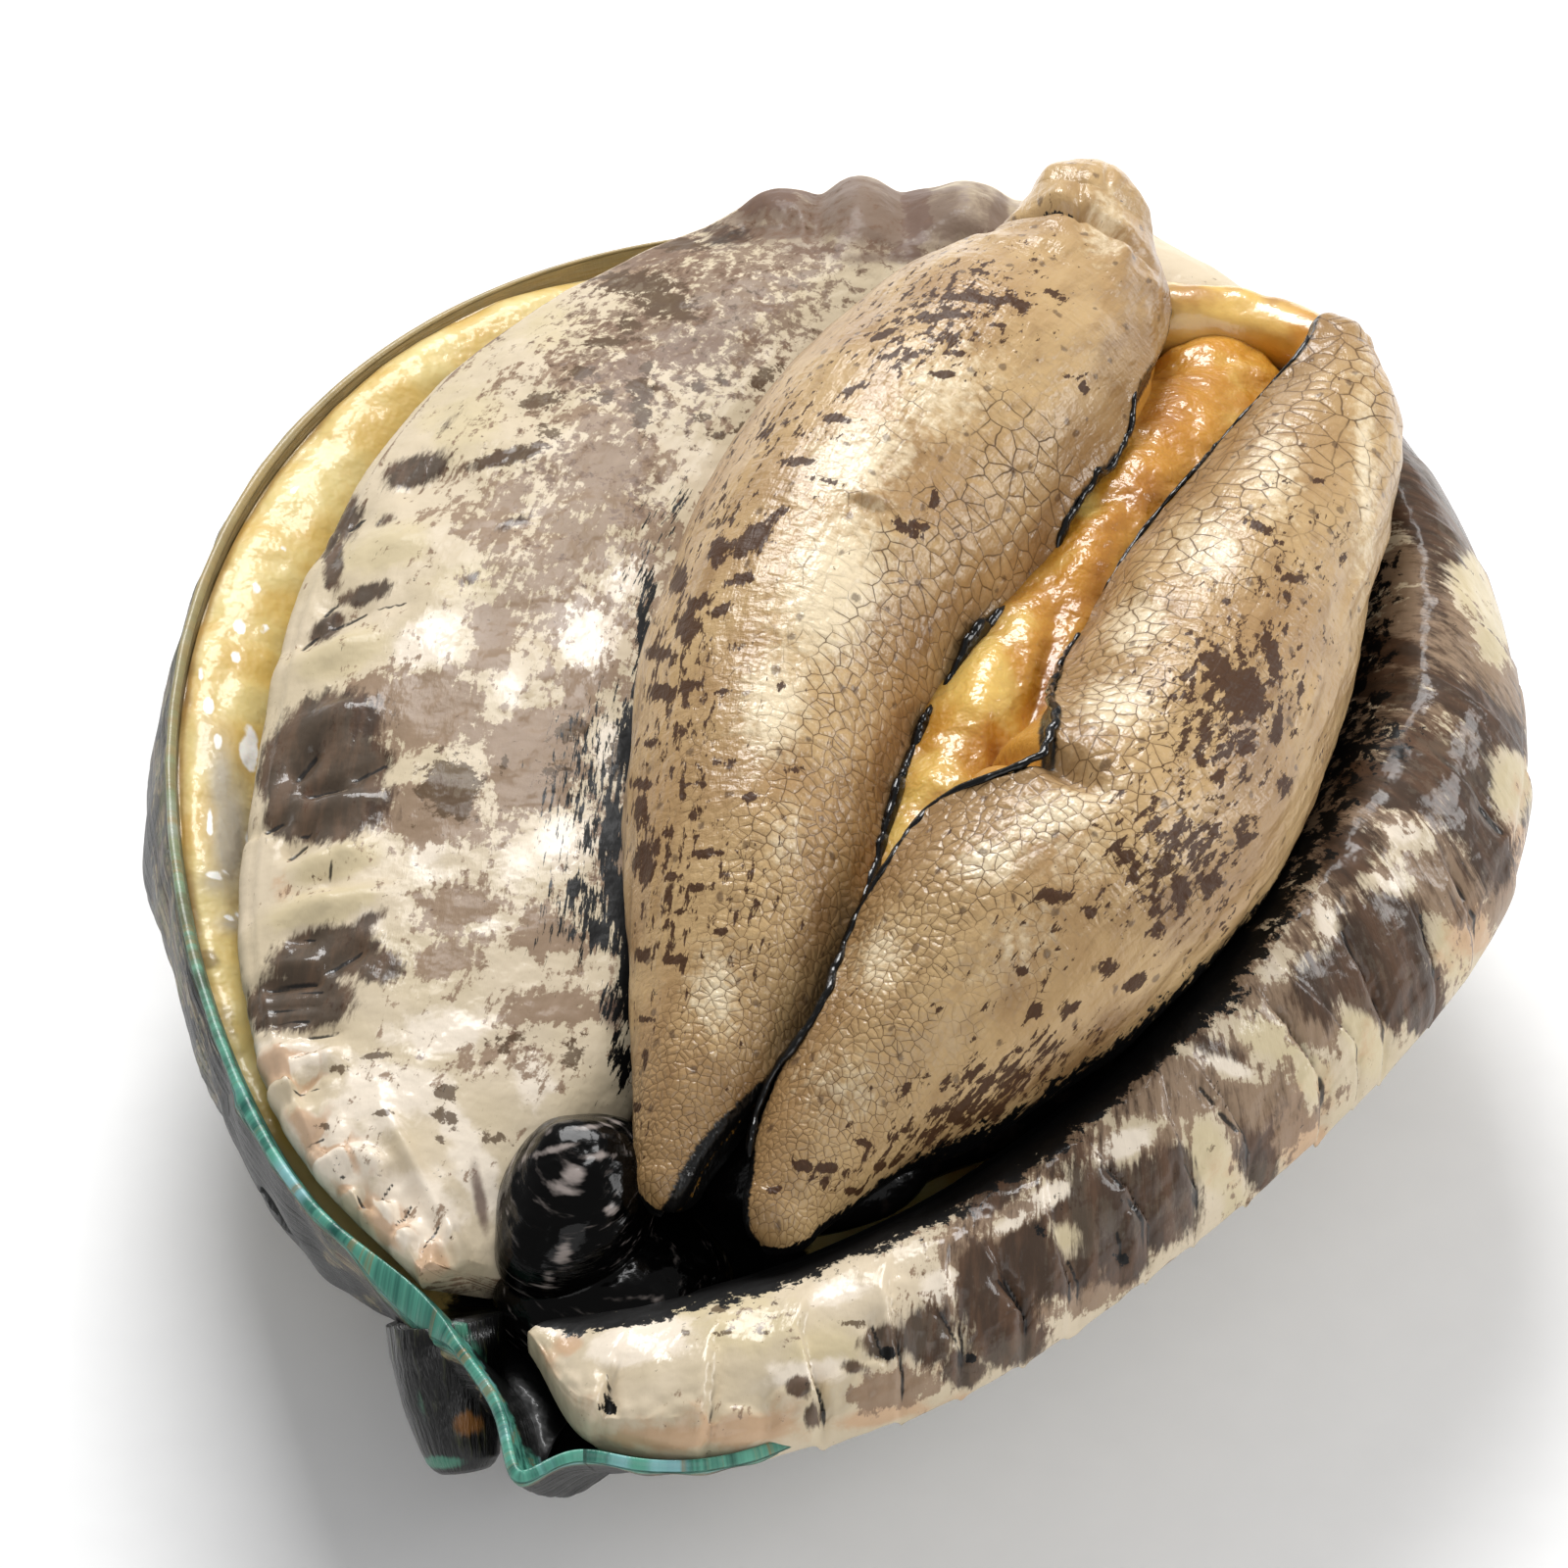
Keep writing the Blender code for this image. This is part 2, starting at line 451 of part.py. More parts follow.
def main():
    for old in list(bpy.data.objects):
        bpy.data.objects.remove(old, do_unlink=True)
    abalone = bpy.data.collections.new("abalone")
    helpers = bpy.data.collections.new("helpers")
    bpy.context.scene.collection.children.link(abalone)
    bpy.context.scene.collection.children.link(helpers)

    dome = shell(abalone, helpers)
    lining = mantle(abalone)

    foot = tube("foot", LEFT_LOBE, abalone)
    combine(foot, [tube("lobe", RIGHT_LOBE, helpers),
                   tube("base", FOOT_BASE, helpers, flat=BASE_FLAT, along=18),
                   tube("rear_wall", REAR_WALL, helpers, along=14, around=12)], "UNION")
    foot_room = [tube("lobe_left_room", LEFT_LOBE, helpers, grow=GAP),
                 tube("lobe_right_room", RIGHT_LOBE, helpers, grow=GAP),
                 tube("base_room", FOOT_BASE, helpers, flat=BASE_FLAT, along=18, grow=GAP * 1.3),
                 tube("rear_wall_room", REAR_WALL, helpers, along=14, around=12, grow=GAP)]

    sole = tube("sole", SOLE, abalone, flat=SOLE_FLAT, along=22)
    combine(sole, foot_room, "DIFFERENCE")

    head = ball("head", *SNOUT, abalone)
    combine(head, [ball("neck", *NECK, helpers)], "UNION")
    combine(head, foot_room[:3], "DIFFERENCE")
    head_room = [ball("snout_room", *SNOUT, helpers, grow=GAP),
                 ball("neck_room", *NECK, helpers, grow=GAP)]

    flap = skirt(abalone)
    combine(flap, foot_room + head_room + [shell_room(helpers)], "DIFFERENCE")
    combine(lining, head_room + foot_room[2:3], "DIFFERENCE")

    for piece in (flap, foot, sole, head):
        weld(piece)
    for piece in (dome, lining, flap, foot, sole, head):
        paint(piece)
    for helper in helpers.objects:
        helper.hide_render = True
        helper.display_type = "WIRE"


main()
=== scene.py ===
# Looks for a raw abalone lying foot up in its shell. Lengths are millimetres up to the mesh.
from itertools import product
from math import cos, pi, radians, sin

import bpy
import numpy as np
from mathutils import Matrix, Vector


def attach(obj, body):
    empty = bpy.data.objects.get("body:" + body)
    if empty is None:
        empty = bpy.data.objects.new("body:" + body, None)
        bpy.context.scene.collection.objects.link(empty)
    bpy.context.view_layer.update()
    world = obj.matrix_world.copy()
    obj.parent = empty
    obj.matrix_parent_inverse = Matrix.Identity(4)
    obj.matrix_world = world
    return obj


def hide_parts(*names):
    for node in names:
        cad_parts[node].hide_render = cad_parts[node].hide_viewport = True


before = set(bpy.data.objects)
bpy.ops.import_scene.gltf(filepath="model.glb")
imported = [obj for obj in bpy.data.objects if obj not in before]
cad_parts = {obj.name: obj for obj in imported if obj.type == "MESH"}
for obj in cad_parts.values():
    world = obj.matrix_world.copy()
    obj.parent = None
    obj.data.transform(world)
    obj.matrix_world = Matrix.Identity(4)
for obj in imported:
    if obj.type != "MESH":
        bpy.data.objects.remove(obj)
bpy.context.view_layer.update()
mm = 0.001
fullTurn = 2 * pi
print("frame loaded:", ", ".join(sorted(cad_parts)))


# large numbers that stir up a place and a seed
stir = {"x": 73856093, "y": 19349663, "z": 83492791, "seed": 265443576, "all": 1274126177,
        "largest": 0xFFFFFF}


def scatter(cells, seed):
    # numbers from 0 to 1 that look random but never change
    x, y, z = (cells[..., k].astype(np.int64) for k in range(3))
    n = (x * stir["x"]) ^ (y * stir["y"]) ^ (z * stir["z"]) ^ (seed * stir["seed"])
    n = (n ^ (n >> 13)) * stir["all"]
    return ((n ^ (n >> 16)) & stir["largest"]) / stir["largest"]


def softNoise(points, size, seed=0, octaves=1):
    # -1 to 1, with features of about the given size
    total, strength, weight = 0.0, 1.0, 0.0
    for octave in range(octaves):
        place = np.asarray(points, float) / size * 2 ** octave
        base = np.floor(place)
        part = place - base
        part = part * part * (3 - 2 * part)
        value = 0.0
        for corner in product((0, 1), repeat=3):
            near = np.where(np.array(corner) == 1, part, 1 - part)
            value = value + near.prod(axis=-1) * scatter(base + corner, seed + octave)
        total = total + strength * (2 * value - 1)
        weight += strength
        strength *= 0.5
    return total / weight


def cellNoise(points, size, seed=0):
    # distance to the nearest of scattered spots, and how far it is from the border of its cell
    place = np.asarray(points, float) / size
    base = np.floor(place)
    nearest = np.full(place.shape[:-1], 9.0)
    second = nearest.copy()
    for offset in product((-1, 0, 1), repeat=3):
        cell = base + offset
        spot = cell + np.stack([scatter(cell, seed + k) for k in range(3)], -1)
        away = np.linalg.norm(spot - place, axis=-1)
        second = np.minimum(second, np.maximum(nearest, away))
        nearest = np.minimum(nearest, away)
    return nearest, second - nearest


def smoothRows(points, count):
    # rows of numbers along a smooth curve through the given rows
    rows = np.asarray(points, float)
    padded = np.vstack([2 * rows[0] - rows[1], rows, 2 * rows[-1] - rows[-2]])
    place = np.linspace(0, len(rows) - 1, count)
    index = np.minimum(place.astype(int), len(rows) - 2)
    part = (place - index)[:, None]
    before, start, end, after = (padded[index + k] for k in range(4))
    return 0.5 * (2 * start + (end - before) * part
                  + (2 * before - 5 * start + 4 * end - after) * part ** 2
                  + (3 * start - before - 3 * end + after) * part ** 3)


def unit(vectors):
    return vectors / np.linalg.norm(vectors, axis=-1, keepdims=True)


def runLength(points):
    # how far along a line of points each of them lies
    return np.concatenate([[0], np.cumsum(np.linalg.norm(np.diff(points, axis=0), axis=1))])


def perRing(values, around):
    # one value for each ring, repeated round it
    return np.repeat(values[:, None], around, 1)


def perSpoke(values, count):
    # one value for each place round a ring, the same in every ring
    return np.repeat(values[None], count, 0)


def sheet(across, up):
    # places on a flat sheet of two coordinates
    return np.stack([across, up, np.zeros_like(across)], -1)


def closeness(angle, centre, spread):
    # 1 at an angle, falling off on both sides of it
    away = (angle - centre + pi) % fullTurn - pi
    return np.exp(-(away / spread) ** 2)


def ease(value, low, high):
    # from 0 at low to 1 at high, with soft ends
    part = np.clip((value - low) / (high - low), 0, 1)
    return part * part * (3 - 2 * part)


def outwards(grid):
    # unit normals of closed rings of points, pointing away from the rings' middle
    along = np.gradient(grid, axis=0)
    across = np.roll(grid, -1, axis=1) - np.roll(grid, 1, axis=1)
    normal = np.cross(along, across)
    normal /= np.linalg.norm(normal, axis=2, keepdims=True) + 1e-9
    middle = grid.mean(axis=1, keepdims=True)
    facing = np.sign(((grid - middle) * normal).sum(axis=(1, 2)).sum())
    return normal * facing


def pushed(grid, distance):
    return grid + outwards(grid) * distance


def makePiece(name, rings, material, slot, replaced, **layers):
    # a closed surface over rings of points, with a pole at both ends; each layer is a value or
    # a vector for every point
    count, around = rings.shape[:2]
    first = np.arange(count - 1)[:, None] * around
    j = np.arange(around)[None]
    k = (j + 1) % around
    quads = np.stack([first + j, first + k, first + around + k, first + around + j], -1)
    faces = quads.reshape(-1, 4)
    tip, lastRow = count * around, (count - 1) * around
    points = np.vstack([rings.reshape(-1, 3), rings[0].mean(0), rings[-1].mean(0)])
    caps = np.vstack([np.stack([k[0], j[0], np.full(around, tip)], -1),
                      np.stack([lastRow + j[0], lastRow + k[0], np.full(around, tip + 1)], -1)])
    corner = points[faces]
    volume = (corner[:, 0] * np.cross(corner[:, 1], corner[:, 2])
              + corner[:, 0] * np.cross(corner[:, 2], corner[:, 3])).sum()
    if volume < 0:
        faces, caps = faces[:, ::-1], caps[:, ::-1]
    mesh = bpy.data.meshes.new(name)
    mesh.from_pydata((points * mm).tolist(), [], faces.tolist() + caps.tolist())
    for layer, values in layers.items():
        values = np.asarray(values, float)
        wide = values.ndim == 3
        flat = values.reshape(count * around, -1)
        flat = np.vstack([flat, flat[:around].mean(0), flat[-around:].mean(0)])
        made = mesh.attributes.new(layer, "FLOAT_VECTOR" if wide else "FLOAT", "POINT")
        made.data.foreach_set("vector" if wide else "value", flat.astype(np.float32).ravel())
    mesh.shade_smooth()
    piece = bpy.data.objects.new(name, mesh)
    bpy.context.scene.collection.objects.link(piece)
    mesh.materials.append(material)
    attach(piece, "root")
    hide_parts(*replaced)
    print(f"{name}: {len(mesh.polygons)} faces")


def tint(red, green, blue):
    # a colour as it looks on a screen, turned into the renderer's own numbers
    return tuple(((v + 0.055) / 1.055) ** 2.4 if v > 0.04 else v / 12.92
                 for v in (red, green, blue)) + (1.0,)


class Finish:
    # a material and short ways to add nodes to it
    def __init__(self, name, **surface):
        self.material = bpy.data.materials.new(name)
        self.material.use_nodes = True
        self.tree = self.material.node_tree
        self.surface = self.tree.nodes["Principled BSDF"]
        for socket, value in surface.items():
            self.surface.inputs[socket.replace("_", " ")].default_value = value
        self.surface.inputs["Subsurface Radius"].default_value = (1.0, 0.75, 0.45)

    def node(self, kind, values=(), **settings):
        made = self.tree.nodes.new(kind)
        for key, value in settings.items():
            setattr(made, key, value)
        for socket, value in dict(values).items():
            self.feed(made.inputs[socket], value)
        return made

    def feed(self, socket, value):
        if isinstance(value, bpy.types.NodeSocket):
            self.tree.links.new(value, socket)
        else:
            socket.default_value = value

    def layer(self, name):
        return self.node("ShaderNodeAttribute", attribute_name=name).outputs["Fac"]

    def place(self, name="place", stretch=(1, 1, 1)):
        found = self.node("ShaderNodeAttribute", attribute_name=name).outputs["Vector"]
        scaled = self.node("ShaderNodeVectorMath", {0: found, 1: stretch}, operation="MULTIPLY")
        return scaled.outputs[0]

    def sum(self, *values):
        total = values[0]
        for value in values[1:]:
            total = self.maths("ADD", total, value)
        return total

    def maths(self, operation, first, second=0.0):
        return self.node("ShaderNodeMath", {0: first, 1: second},
                         operation=operation).outputs[0]

    def times(self, *values):
        total = values[0]
        for value in values[1:]:
            total = self.maths("MULTIPLY", total, value)
        return total

    def noise(self, vector, scale, detail=2.0, rough=0.5):
        return self.node("ShaderNodeTexNoise", {"Vector": vector, "Scale": scale, "Detail": detail,
                                                "Roughness": rough}).outputs["Fac"]

    def swirl(self, vector, scale, amount):
        # the same place, shaken by noise
        shake = self.node("ShaderNodeTexNoise", {"Vector": vector, "Scale": scale, "Detail": 2.0})
        centred = self.node("ShaderNodeVectorMath", {0: shake.outputs["Color"],
                                                     1: (0.5, 0.5, 0.5)}, operation="SUBTRACT")
        return self.node("ShaderNodeVectorMath", {0: centred.outputs[0],
                                                  1: (amount, amount, amount), 2: vector},
                         operation="MULTIPLY_ADD").outputs[0]

    def cells(self, vector, scale, feature="DISTANCE_TO_EDGE"):
        # distances in the cells that a sheet of two coordinates is split into
        return self.node("ShaderNodeTexVoronoi", {"Vector": vector, "Scale": scale},
                         voronoi_dimensions="2D", feature=feature).outputs["Distance"]

    def ramp(self, value, low, high, start=0.0, end=1.0):
        return self.node("ShaderNodeMapRange", {"Value": value, "From Min": low, "From Max": high,
                                                "To Min": start, "To Max": end},
                         interpolation_type="SMOOTHSTEP").outputs[0]

    def ragged(self, name, grain, gain, edge, soft):
        # a layer's area, above a strength at its edge, which is broken up by a grain
        total = self.sum(self.layer(name), self.times(grain, gain))
        return self.ramp(total, edge + gain / 2 - soft, edge + gain / 2 + soft)

    def paint(self, under, over, name, grain, gain, soft, share=1.0):
        # a tint over the colour where the named layer has marks
        cover = self.ragged(name, grain, gain, 0.5, soft)
        return self.mix(self.times(cover, share) if share < 1 else cover, under, over)

    def mix(self, share, under, over):
        made = self.node("ShaderNodeMix", data_type="RGBA")
        self.feed(made.inputs[0], share)
        self.feed(made.inputs[6], under)
        self.feed(made.inputs[7], over)
        return made.outputs[2]

    def relief(self, height, distance, before=None):
        made = self.node("ShaderNodeBump", {"Height": height, "Distance": distance * mm,
                                            "Strength": 1.0})
        if before is not None:
            self.feed(made.inputs["Normal"], before)
        return made.outputs[0]

    def done(self, colour, normal=None):
        self.feed(self.surface.inputs["Base Color"], colour)
        if normal is not None:
            self.feed(self.surface.inputs["Normal"], normal)
            self.feed(self.surface.inputs["Coat Normal"], normal)
        return self.material


view = {"azimuth": 15.0, "elevation": 44.0, "distance": 420.0, "target": (0.0, 0.0, 26.0),
        "lens": 170.1, "sensor": 36.0, "clip": (0.01, 50), "pixels": 1600, "pixelsPerMm": 18.0}


def lookBack():
    # from the object towards the camera
    turn, rise = radians(view["azimuth"]), radians(view["elevation"])
    return np.array((sin(turn) * cos(rise), -cos(turn) * cos(rise), sin(rise)))


def placeCamera():
    camera = bpy.data.cameras.new("camera")
    camera.lens = view["lens"]
    camera.sensor_width = view["sensor"]
    camera.clip_start, camera.clip_end = view["clip"]
    seat = bpy.data.objects.new("camera", camera)
    bpy.context.scene.collection.objects.link(seat)
    back = Vector(lookBack())
    seat.location = (Vector(view["target"]) + back * view["distance"]) * mm
    seat.rotation_mode = "QUATERNION"
    seat.rotation_quaternion = back.to_track_quat("Z", "Y")
    bpy.context.scene.camera = seat


def photoPlace(points):
    # where points in millimetres show in the photo, in pixels of its 1600 x 1600 frame
    back = lookBack()
    right = np.array((-back[1], back[0], 0.0)) / np.hypot(back[0], back[1])
    away = points - (np.array(view["target"]) + back * view["distance"])
    scale = view["pixels"] * view["lens"] / view["sensor"] / -(away @ back)
    middle = view["pixels"] / 2
    return middle + away @ right * scale, middle - away @ np.cross(back, right) * scale


def ovals(seen, marks):
    # how strongly each soft oval mark covers the points: x, y, half width, half height in
    # photo pixels, tilt in degrees and strength
    for x, y, wide, high, tilt, strength in marks:
        dx, dy = seen[0] - x, seen[1] - y
        along = dx * cos(radians(tilt)) + dy * sin(radians(tilt))
        across = dy * cos(radians(tilt)) - dx * sin(radians(tilt))
        yield strength * np.exp(-(along / wide) ** 2 - (across / high) ** 2)


def strongest(seen, marks):
    best = np.zeros_like(seen[0])
    for cover in ovals(seen, marks):
        best = np.maximum(best, cover)
    return best


def creased(seen, lines):
    # how deep fold lines cut in and the painted shade in them: both ends in photo pixels, depth and
    # half width in millimetres
    depth, dark = np.zeros_like(seen[0]), np.zeros_like(seen[0])
    for x0, y0, x1, y1, cut, wide in lines:
        dx, dy = x1 - x0, y1 - y0
        part = ((seen[0] - x0) * dx + (seen[1] - y0) * dy) / (dx * dx + dy * dy)
        part = np.clip(part, 0, 1)
        away = np.hypot(seen[0] - x0 - part * dx, seen[1] - y0 - part * dy) / view["pixelsPerMm"]
        taper = 1 - 0.7 * ease(part, 0.6, 1.0)
        groove = 0.6 * np.exp(-(away / wide) ** 2) + 0.4 * np.exp(-(away / wide / 3.2) ** 2)
        depth = np.maximum(depth, cut * taper * groove)
        if wide < 0.5:  # only narrow folds get painted shade
            dark = np.maximum(dark, taper * np.exp(-(away / (0.08 + 0.14 * cut * taper)) ** 2))
    return depth, dark


# places in millimetres, sizes in metres, power in watts
lights = {"key": {"at": (-150, 330, 400), "size": 0.24, "power": 3.0},
          "side": {"at": (430, 190, 240), "size": 0.20, "power": 1.2},
          "front": {"at": (120, -420, 330), "size": 0.40, "power": 0.9}}
studio = {"aim": (0, 0, 20), "sky": 0.33, "white": (1, 1, 1, 1), "floorHalf": 1.6,
          "paper": (0.91, 0.91, 0.91, 1), "paperPale": (0.95, 0.95, 0.95, 1), "paperGrain": 300.0}


def placeLights():
    for name, light in lights.items():
        lamp = bpy.data.lights.new(name, "AREA")
        lamp.size = light["size"]
        lamp.energy = light["power"]
        seat = bpy.data.objects.new(name, lamp)
        bpy.context.scene.collection.objects.link(seat)
        seat.location = Vector(light["at"]) * mm
        seat.rotation_mode = "QUATERNION"
        away = Vector(light["at"]) - Vector(studio["aim"])
        seat.rotation_quaternion = away.to_track_quat("Z", "Y")
    world = bpy.data.worlds.new("studio")
    world.use_nodes = True
    background = world.node_tree.nodes["Background"]
    background.inputs["Color"].default_value = studio["white"]
    background.inputs["Strength"].default_value = studio["sky"]
    bpy.context.scene.world = world


def layFloor():
    half = studio["floorHalf"]
    mesh = bpy.data.meshes.new("floor")
    mesh.from_pydata([(-half, -half, 0), (half, -half, 0), (half, half, 0), (-half, half, 0)],
                     [], [(0, 1, 2, 3)])
    floor = bpy.data.objects.new("floor", mesh)
    bpy.context.scene.collection.objects.link(floor)
    paper = Finish("paper", Roughness=0.9)
    speck = paper.noise(paper.node("ShaderNodeTexCoord").outputs["Object"], studio["paperGrain"])
    mesh.materials.append(paper.done(paper.mix(speck, studio["paper"], studio["paperPale"])))


placeCamera()
placeLights()
layFloor()
bpy.context.scene.view_settings.view_transform = "Standard"
print("camera, lights and floor placed")

# the shell's form, as in the solids
rimShape = {"halfWidth": 36.4, "halfLength": 50.8, "centre": (0.6, 0.2), "turn": radians(7.5),
            "egg": 0.21, "height": 25.0, "drop": 3.0, "dropAt": radians(85),
            "dropSpread": radians(75), "dropReach": 1.5,
            "bends": ((radians(345), radians(3.6), 3.3), (radians(328), radians(11), -2.4),
                      (radians(36), radians(25), -6.4), (radians(75), radians(25), -1.5)),
            "crowdAt": radians(342), "crowd": 0.5}
wallShape = {"rest": 0.18, "sideAt": radians(275), "sideSpread": radians(62), "shallow": 1.55,
             "steep": 5.0, "keelOut": 3.9, "keelAt": radians(262), "keelSpread": radians(36),
             "keelLift": 1.3, "ribDepth": 0.4, "ribs": 13, "ribTwist": 4.0, "apex": (17.0, 28.0),
             "apexRadius": 11.0, "apexRise": 1.8, "thick": 1.2}


def rim(angle):
    s = rimShape
    x = s["halfWidth"] * np.sin(angle) * (1 - s["egg"] * np.cos(angle))
    y = -s["halfLength"] * np.cos(angle)
    x, y = (s["centre"][0] + x * cos(s["turn"]) - y * sin(s["turn"]),
            s["centre"][1] + x * sin(s["turn"]) + y * cos(s["turn"]))
    out = sum(size * closeness(angle, centre, spread) for centre, spread, size in s["bends"])
    stretch = 1 + out / np.hypot(x, y)
    low = closeness(angle, s["dropAt"], s["dropSpread"])
    z = s["height"] - s["drop"] * np.minimum(1, s["dropReach"] * low)
    return x * stretch, y * stretch, z


def bowl(angle, climb):
    # the outside of the shell: climb goes from 0, the flat spot's edge, to 1, the rim
    s = wallShape
    x, y, top = rim(angle)
    side = closeness(angle, s["sideAt"], s["sideSpread"])
    reach = 1 - (1 - climb) ** (1 + side)
    level = reach ** (s["shallow"] + (s["steep"] - s["shallow"]) * side)
    share = s["rest"] + (1 - s["rest"]) * reach
    radius = np.hypot(x, y)
    keel = (s["keelOut"] * closeness(angle, s["keelAt"], s["keelSpread"])
            * np.sin(pi * level ** s["keelLift"]))
    rib = (s["ribDepth"] * np.sin(s["ribs"] * angle + s["ribTwist"] * climb)
           * np.sin(pi * climb) ** 2)
    share = share + (keel + rib) / radius
    away = np.hypot(x * share - s["apex"][0], y * share - s["apex"][1]) / s["apexRadius"]
    spire = s["apexRise"] * np.exp(-away ** 4) * np.sin(pi * climb) ** 2
    return np.stack([x * share, y * share, top * level - spire], -1)


def rimAngles(count):
    # places round the rim, closer together at the corner by the newest pore
    s = rimShape
    even = np.arange(count) * fullTurn / count
    return even - s["crowd"] * np.sin(even - s["crowdAt"])


shellLook = {"around": 600, "rows": 104, "crowding": 0.9, "inner": 24, "innerCrowding": 1.6,
             "edgeSteps": 9, "rimThick": 0.75, "waveSize": 9.0, "wave": 0.5, "growthLines": 46,
             "growthDepth": 0.10, "spirals": 60, "spiralTwist": 5,
             "spiralDepth": 0.06, "lumpSize": 5.0, "lumpDepth": 0.22, "sink": 0.1,
             "swellNewest": 1.4, "bore": 2.2, "poreDepth": 6, "strip": (40, 41.0, 42, 80),
             "soot": 0.8, "sootAt": ((radians(345), radians(20)), (radians(305), radians(14))),
             # how blue-green the rim is, by degrees round the shell and down the photo's left
             "green": ((0, 30, 60, 170), (1.0, 0.8, 0.6, 0.1)),
             "leftGreen": ((500, 700, 850, 1000, 1120), (0.05, 0.2, 0.45, 0.8, 1.0)),
             "rim": tint(.08, .32, .28), "rimPale": tint(.34, .62, .54),
             "rimBlue": tint(.52, .72, .74),
             "olive": tint(.38, .38, .25), "brown": tint(.27, .18, .12),
             "sand": tint(.58, .53, .39), "dark": tint(.03, .035, .03),
             "gold": tint(.72, .61, .40), "moss": tint(.50, .45, .31)}
# each pore from the newest: angle and height on the wall, radius, reach, lean forward and down
pores = ((radians(330.5), 21.0, 3.1, 6.6, 0.75, 1.5), (radians(307), 18.3, 4.9, 1.0, 0.9, 1.1),
         (radians(290), 17.0, 3.0, 0.4, 0.8, 0.8), (radians(275), 16.6, 2.4, 0.2, 0.4, 0.5),
         (radians(263), 16.4, 2.0, 0.2, 0.4, 0.5))
# black painted on the shell in photo pixels: painted shade in the pores, the neck and the open slot, and
# dark patches on the outside
shadeAndBlackMarks = ((184, 1056, 18, 34, 0, 1.3), (236, 1180, 14, 60, -12, 1.3),
             (285, 1262, 46, 24, 25, 1.3), (160, 735, 7, 26, 0, 1.0), (168, 985, 8, 30, -10, .8),
             (158, 880, 6, 20, 0, .6), (430, 1400, 46, 90, -20, 1.3), (525, 1400, 40, 90, 0, 1.4),
             (570, 1470, 40, 22, 0, 1.2), (330, 1300, 60, 14, 20, 1.2), (148, 850, 16, 150, 0, .8),
             (205, 1010, 16, 60, -20, .8))


def shellFinish():
    s = shellLook
    f = Finish("shellNacre", Roughness=0.42, Coat_Weight=0.22, Coat_Roughness=0.12,
               Specular_IOR_Level=0.3)
    band = f.place("band")
    growth = f.noise(f.swirl(f.place("band", (0.05, 1, 1)), 0.6, 0.5), 2.6, 4.0, 0.7)
    streak = f.noise(f.place("band", (0.9, 0.22, 1)), 1.0, 4.0, 0.65)
    colour = f.mix(f.ramp(growth, 0.42, 0.6), s["brown"], s["sand"])
    colour = f.mix(f.ramp(streak, 0.46, 0.58), colour, s["olive"])
    colour = f.mix(f.times(f.ramp(f.noise(band, 0.45, 4.0), 0.46, 0.58), 0.75), colour, s["dark"])
    # the rim: blue-green with paler, bluer and mossy patches, and gold at its lip
    sea = f.ramp(f.noise(f.place("band", (0.35, 1, 1)), 1.6, 4.0, 0.7), 0.36, 0.64)
    teal = f.mix(sea, s["rim"], s["rimPale"])
    sky = f.ramp(f.noise(f.place("band", (0.2, 1.5, 1)), 1.1, 3.0, 0.6), 0.55, 0.68)
    teal = f.mix(f.times(sky, 0.8), teal, s["rimBlue"])
    moss = f.ramp(f.noise(f.place("band", (0.9, 0.8, 1)), 0.9, 4.0, 0.7), 0.54, 0.64)
    teal = f.mix(f.times(moss, 0.7), teal, s["moss"])
    gold = f.mix(f.noise(f.place("band", (0.4, 1, 1)), 1.2, 3.0), s["moss"], s["gold"])
    colour = f.mix(f.layer("lip"), colour, gold)
    colour = f.mix(f.layer("teal"), colour, teal)
    # the dark layer: painted shade in the pores and the slot, and dark patches
    colour = f.paint(colour, s["dark"], "dark", streak, 1.2, 0.12)
    rough = f.maths("ADD", growth, f.times(streak, 0.6))
    return f.done(colour, f.relief(rough, 0.25))


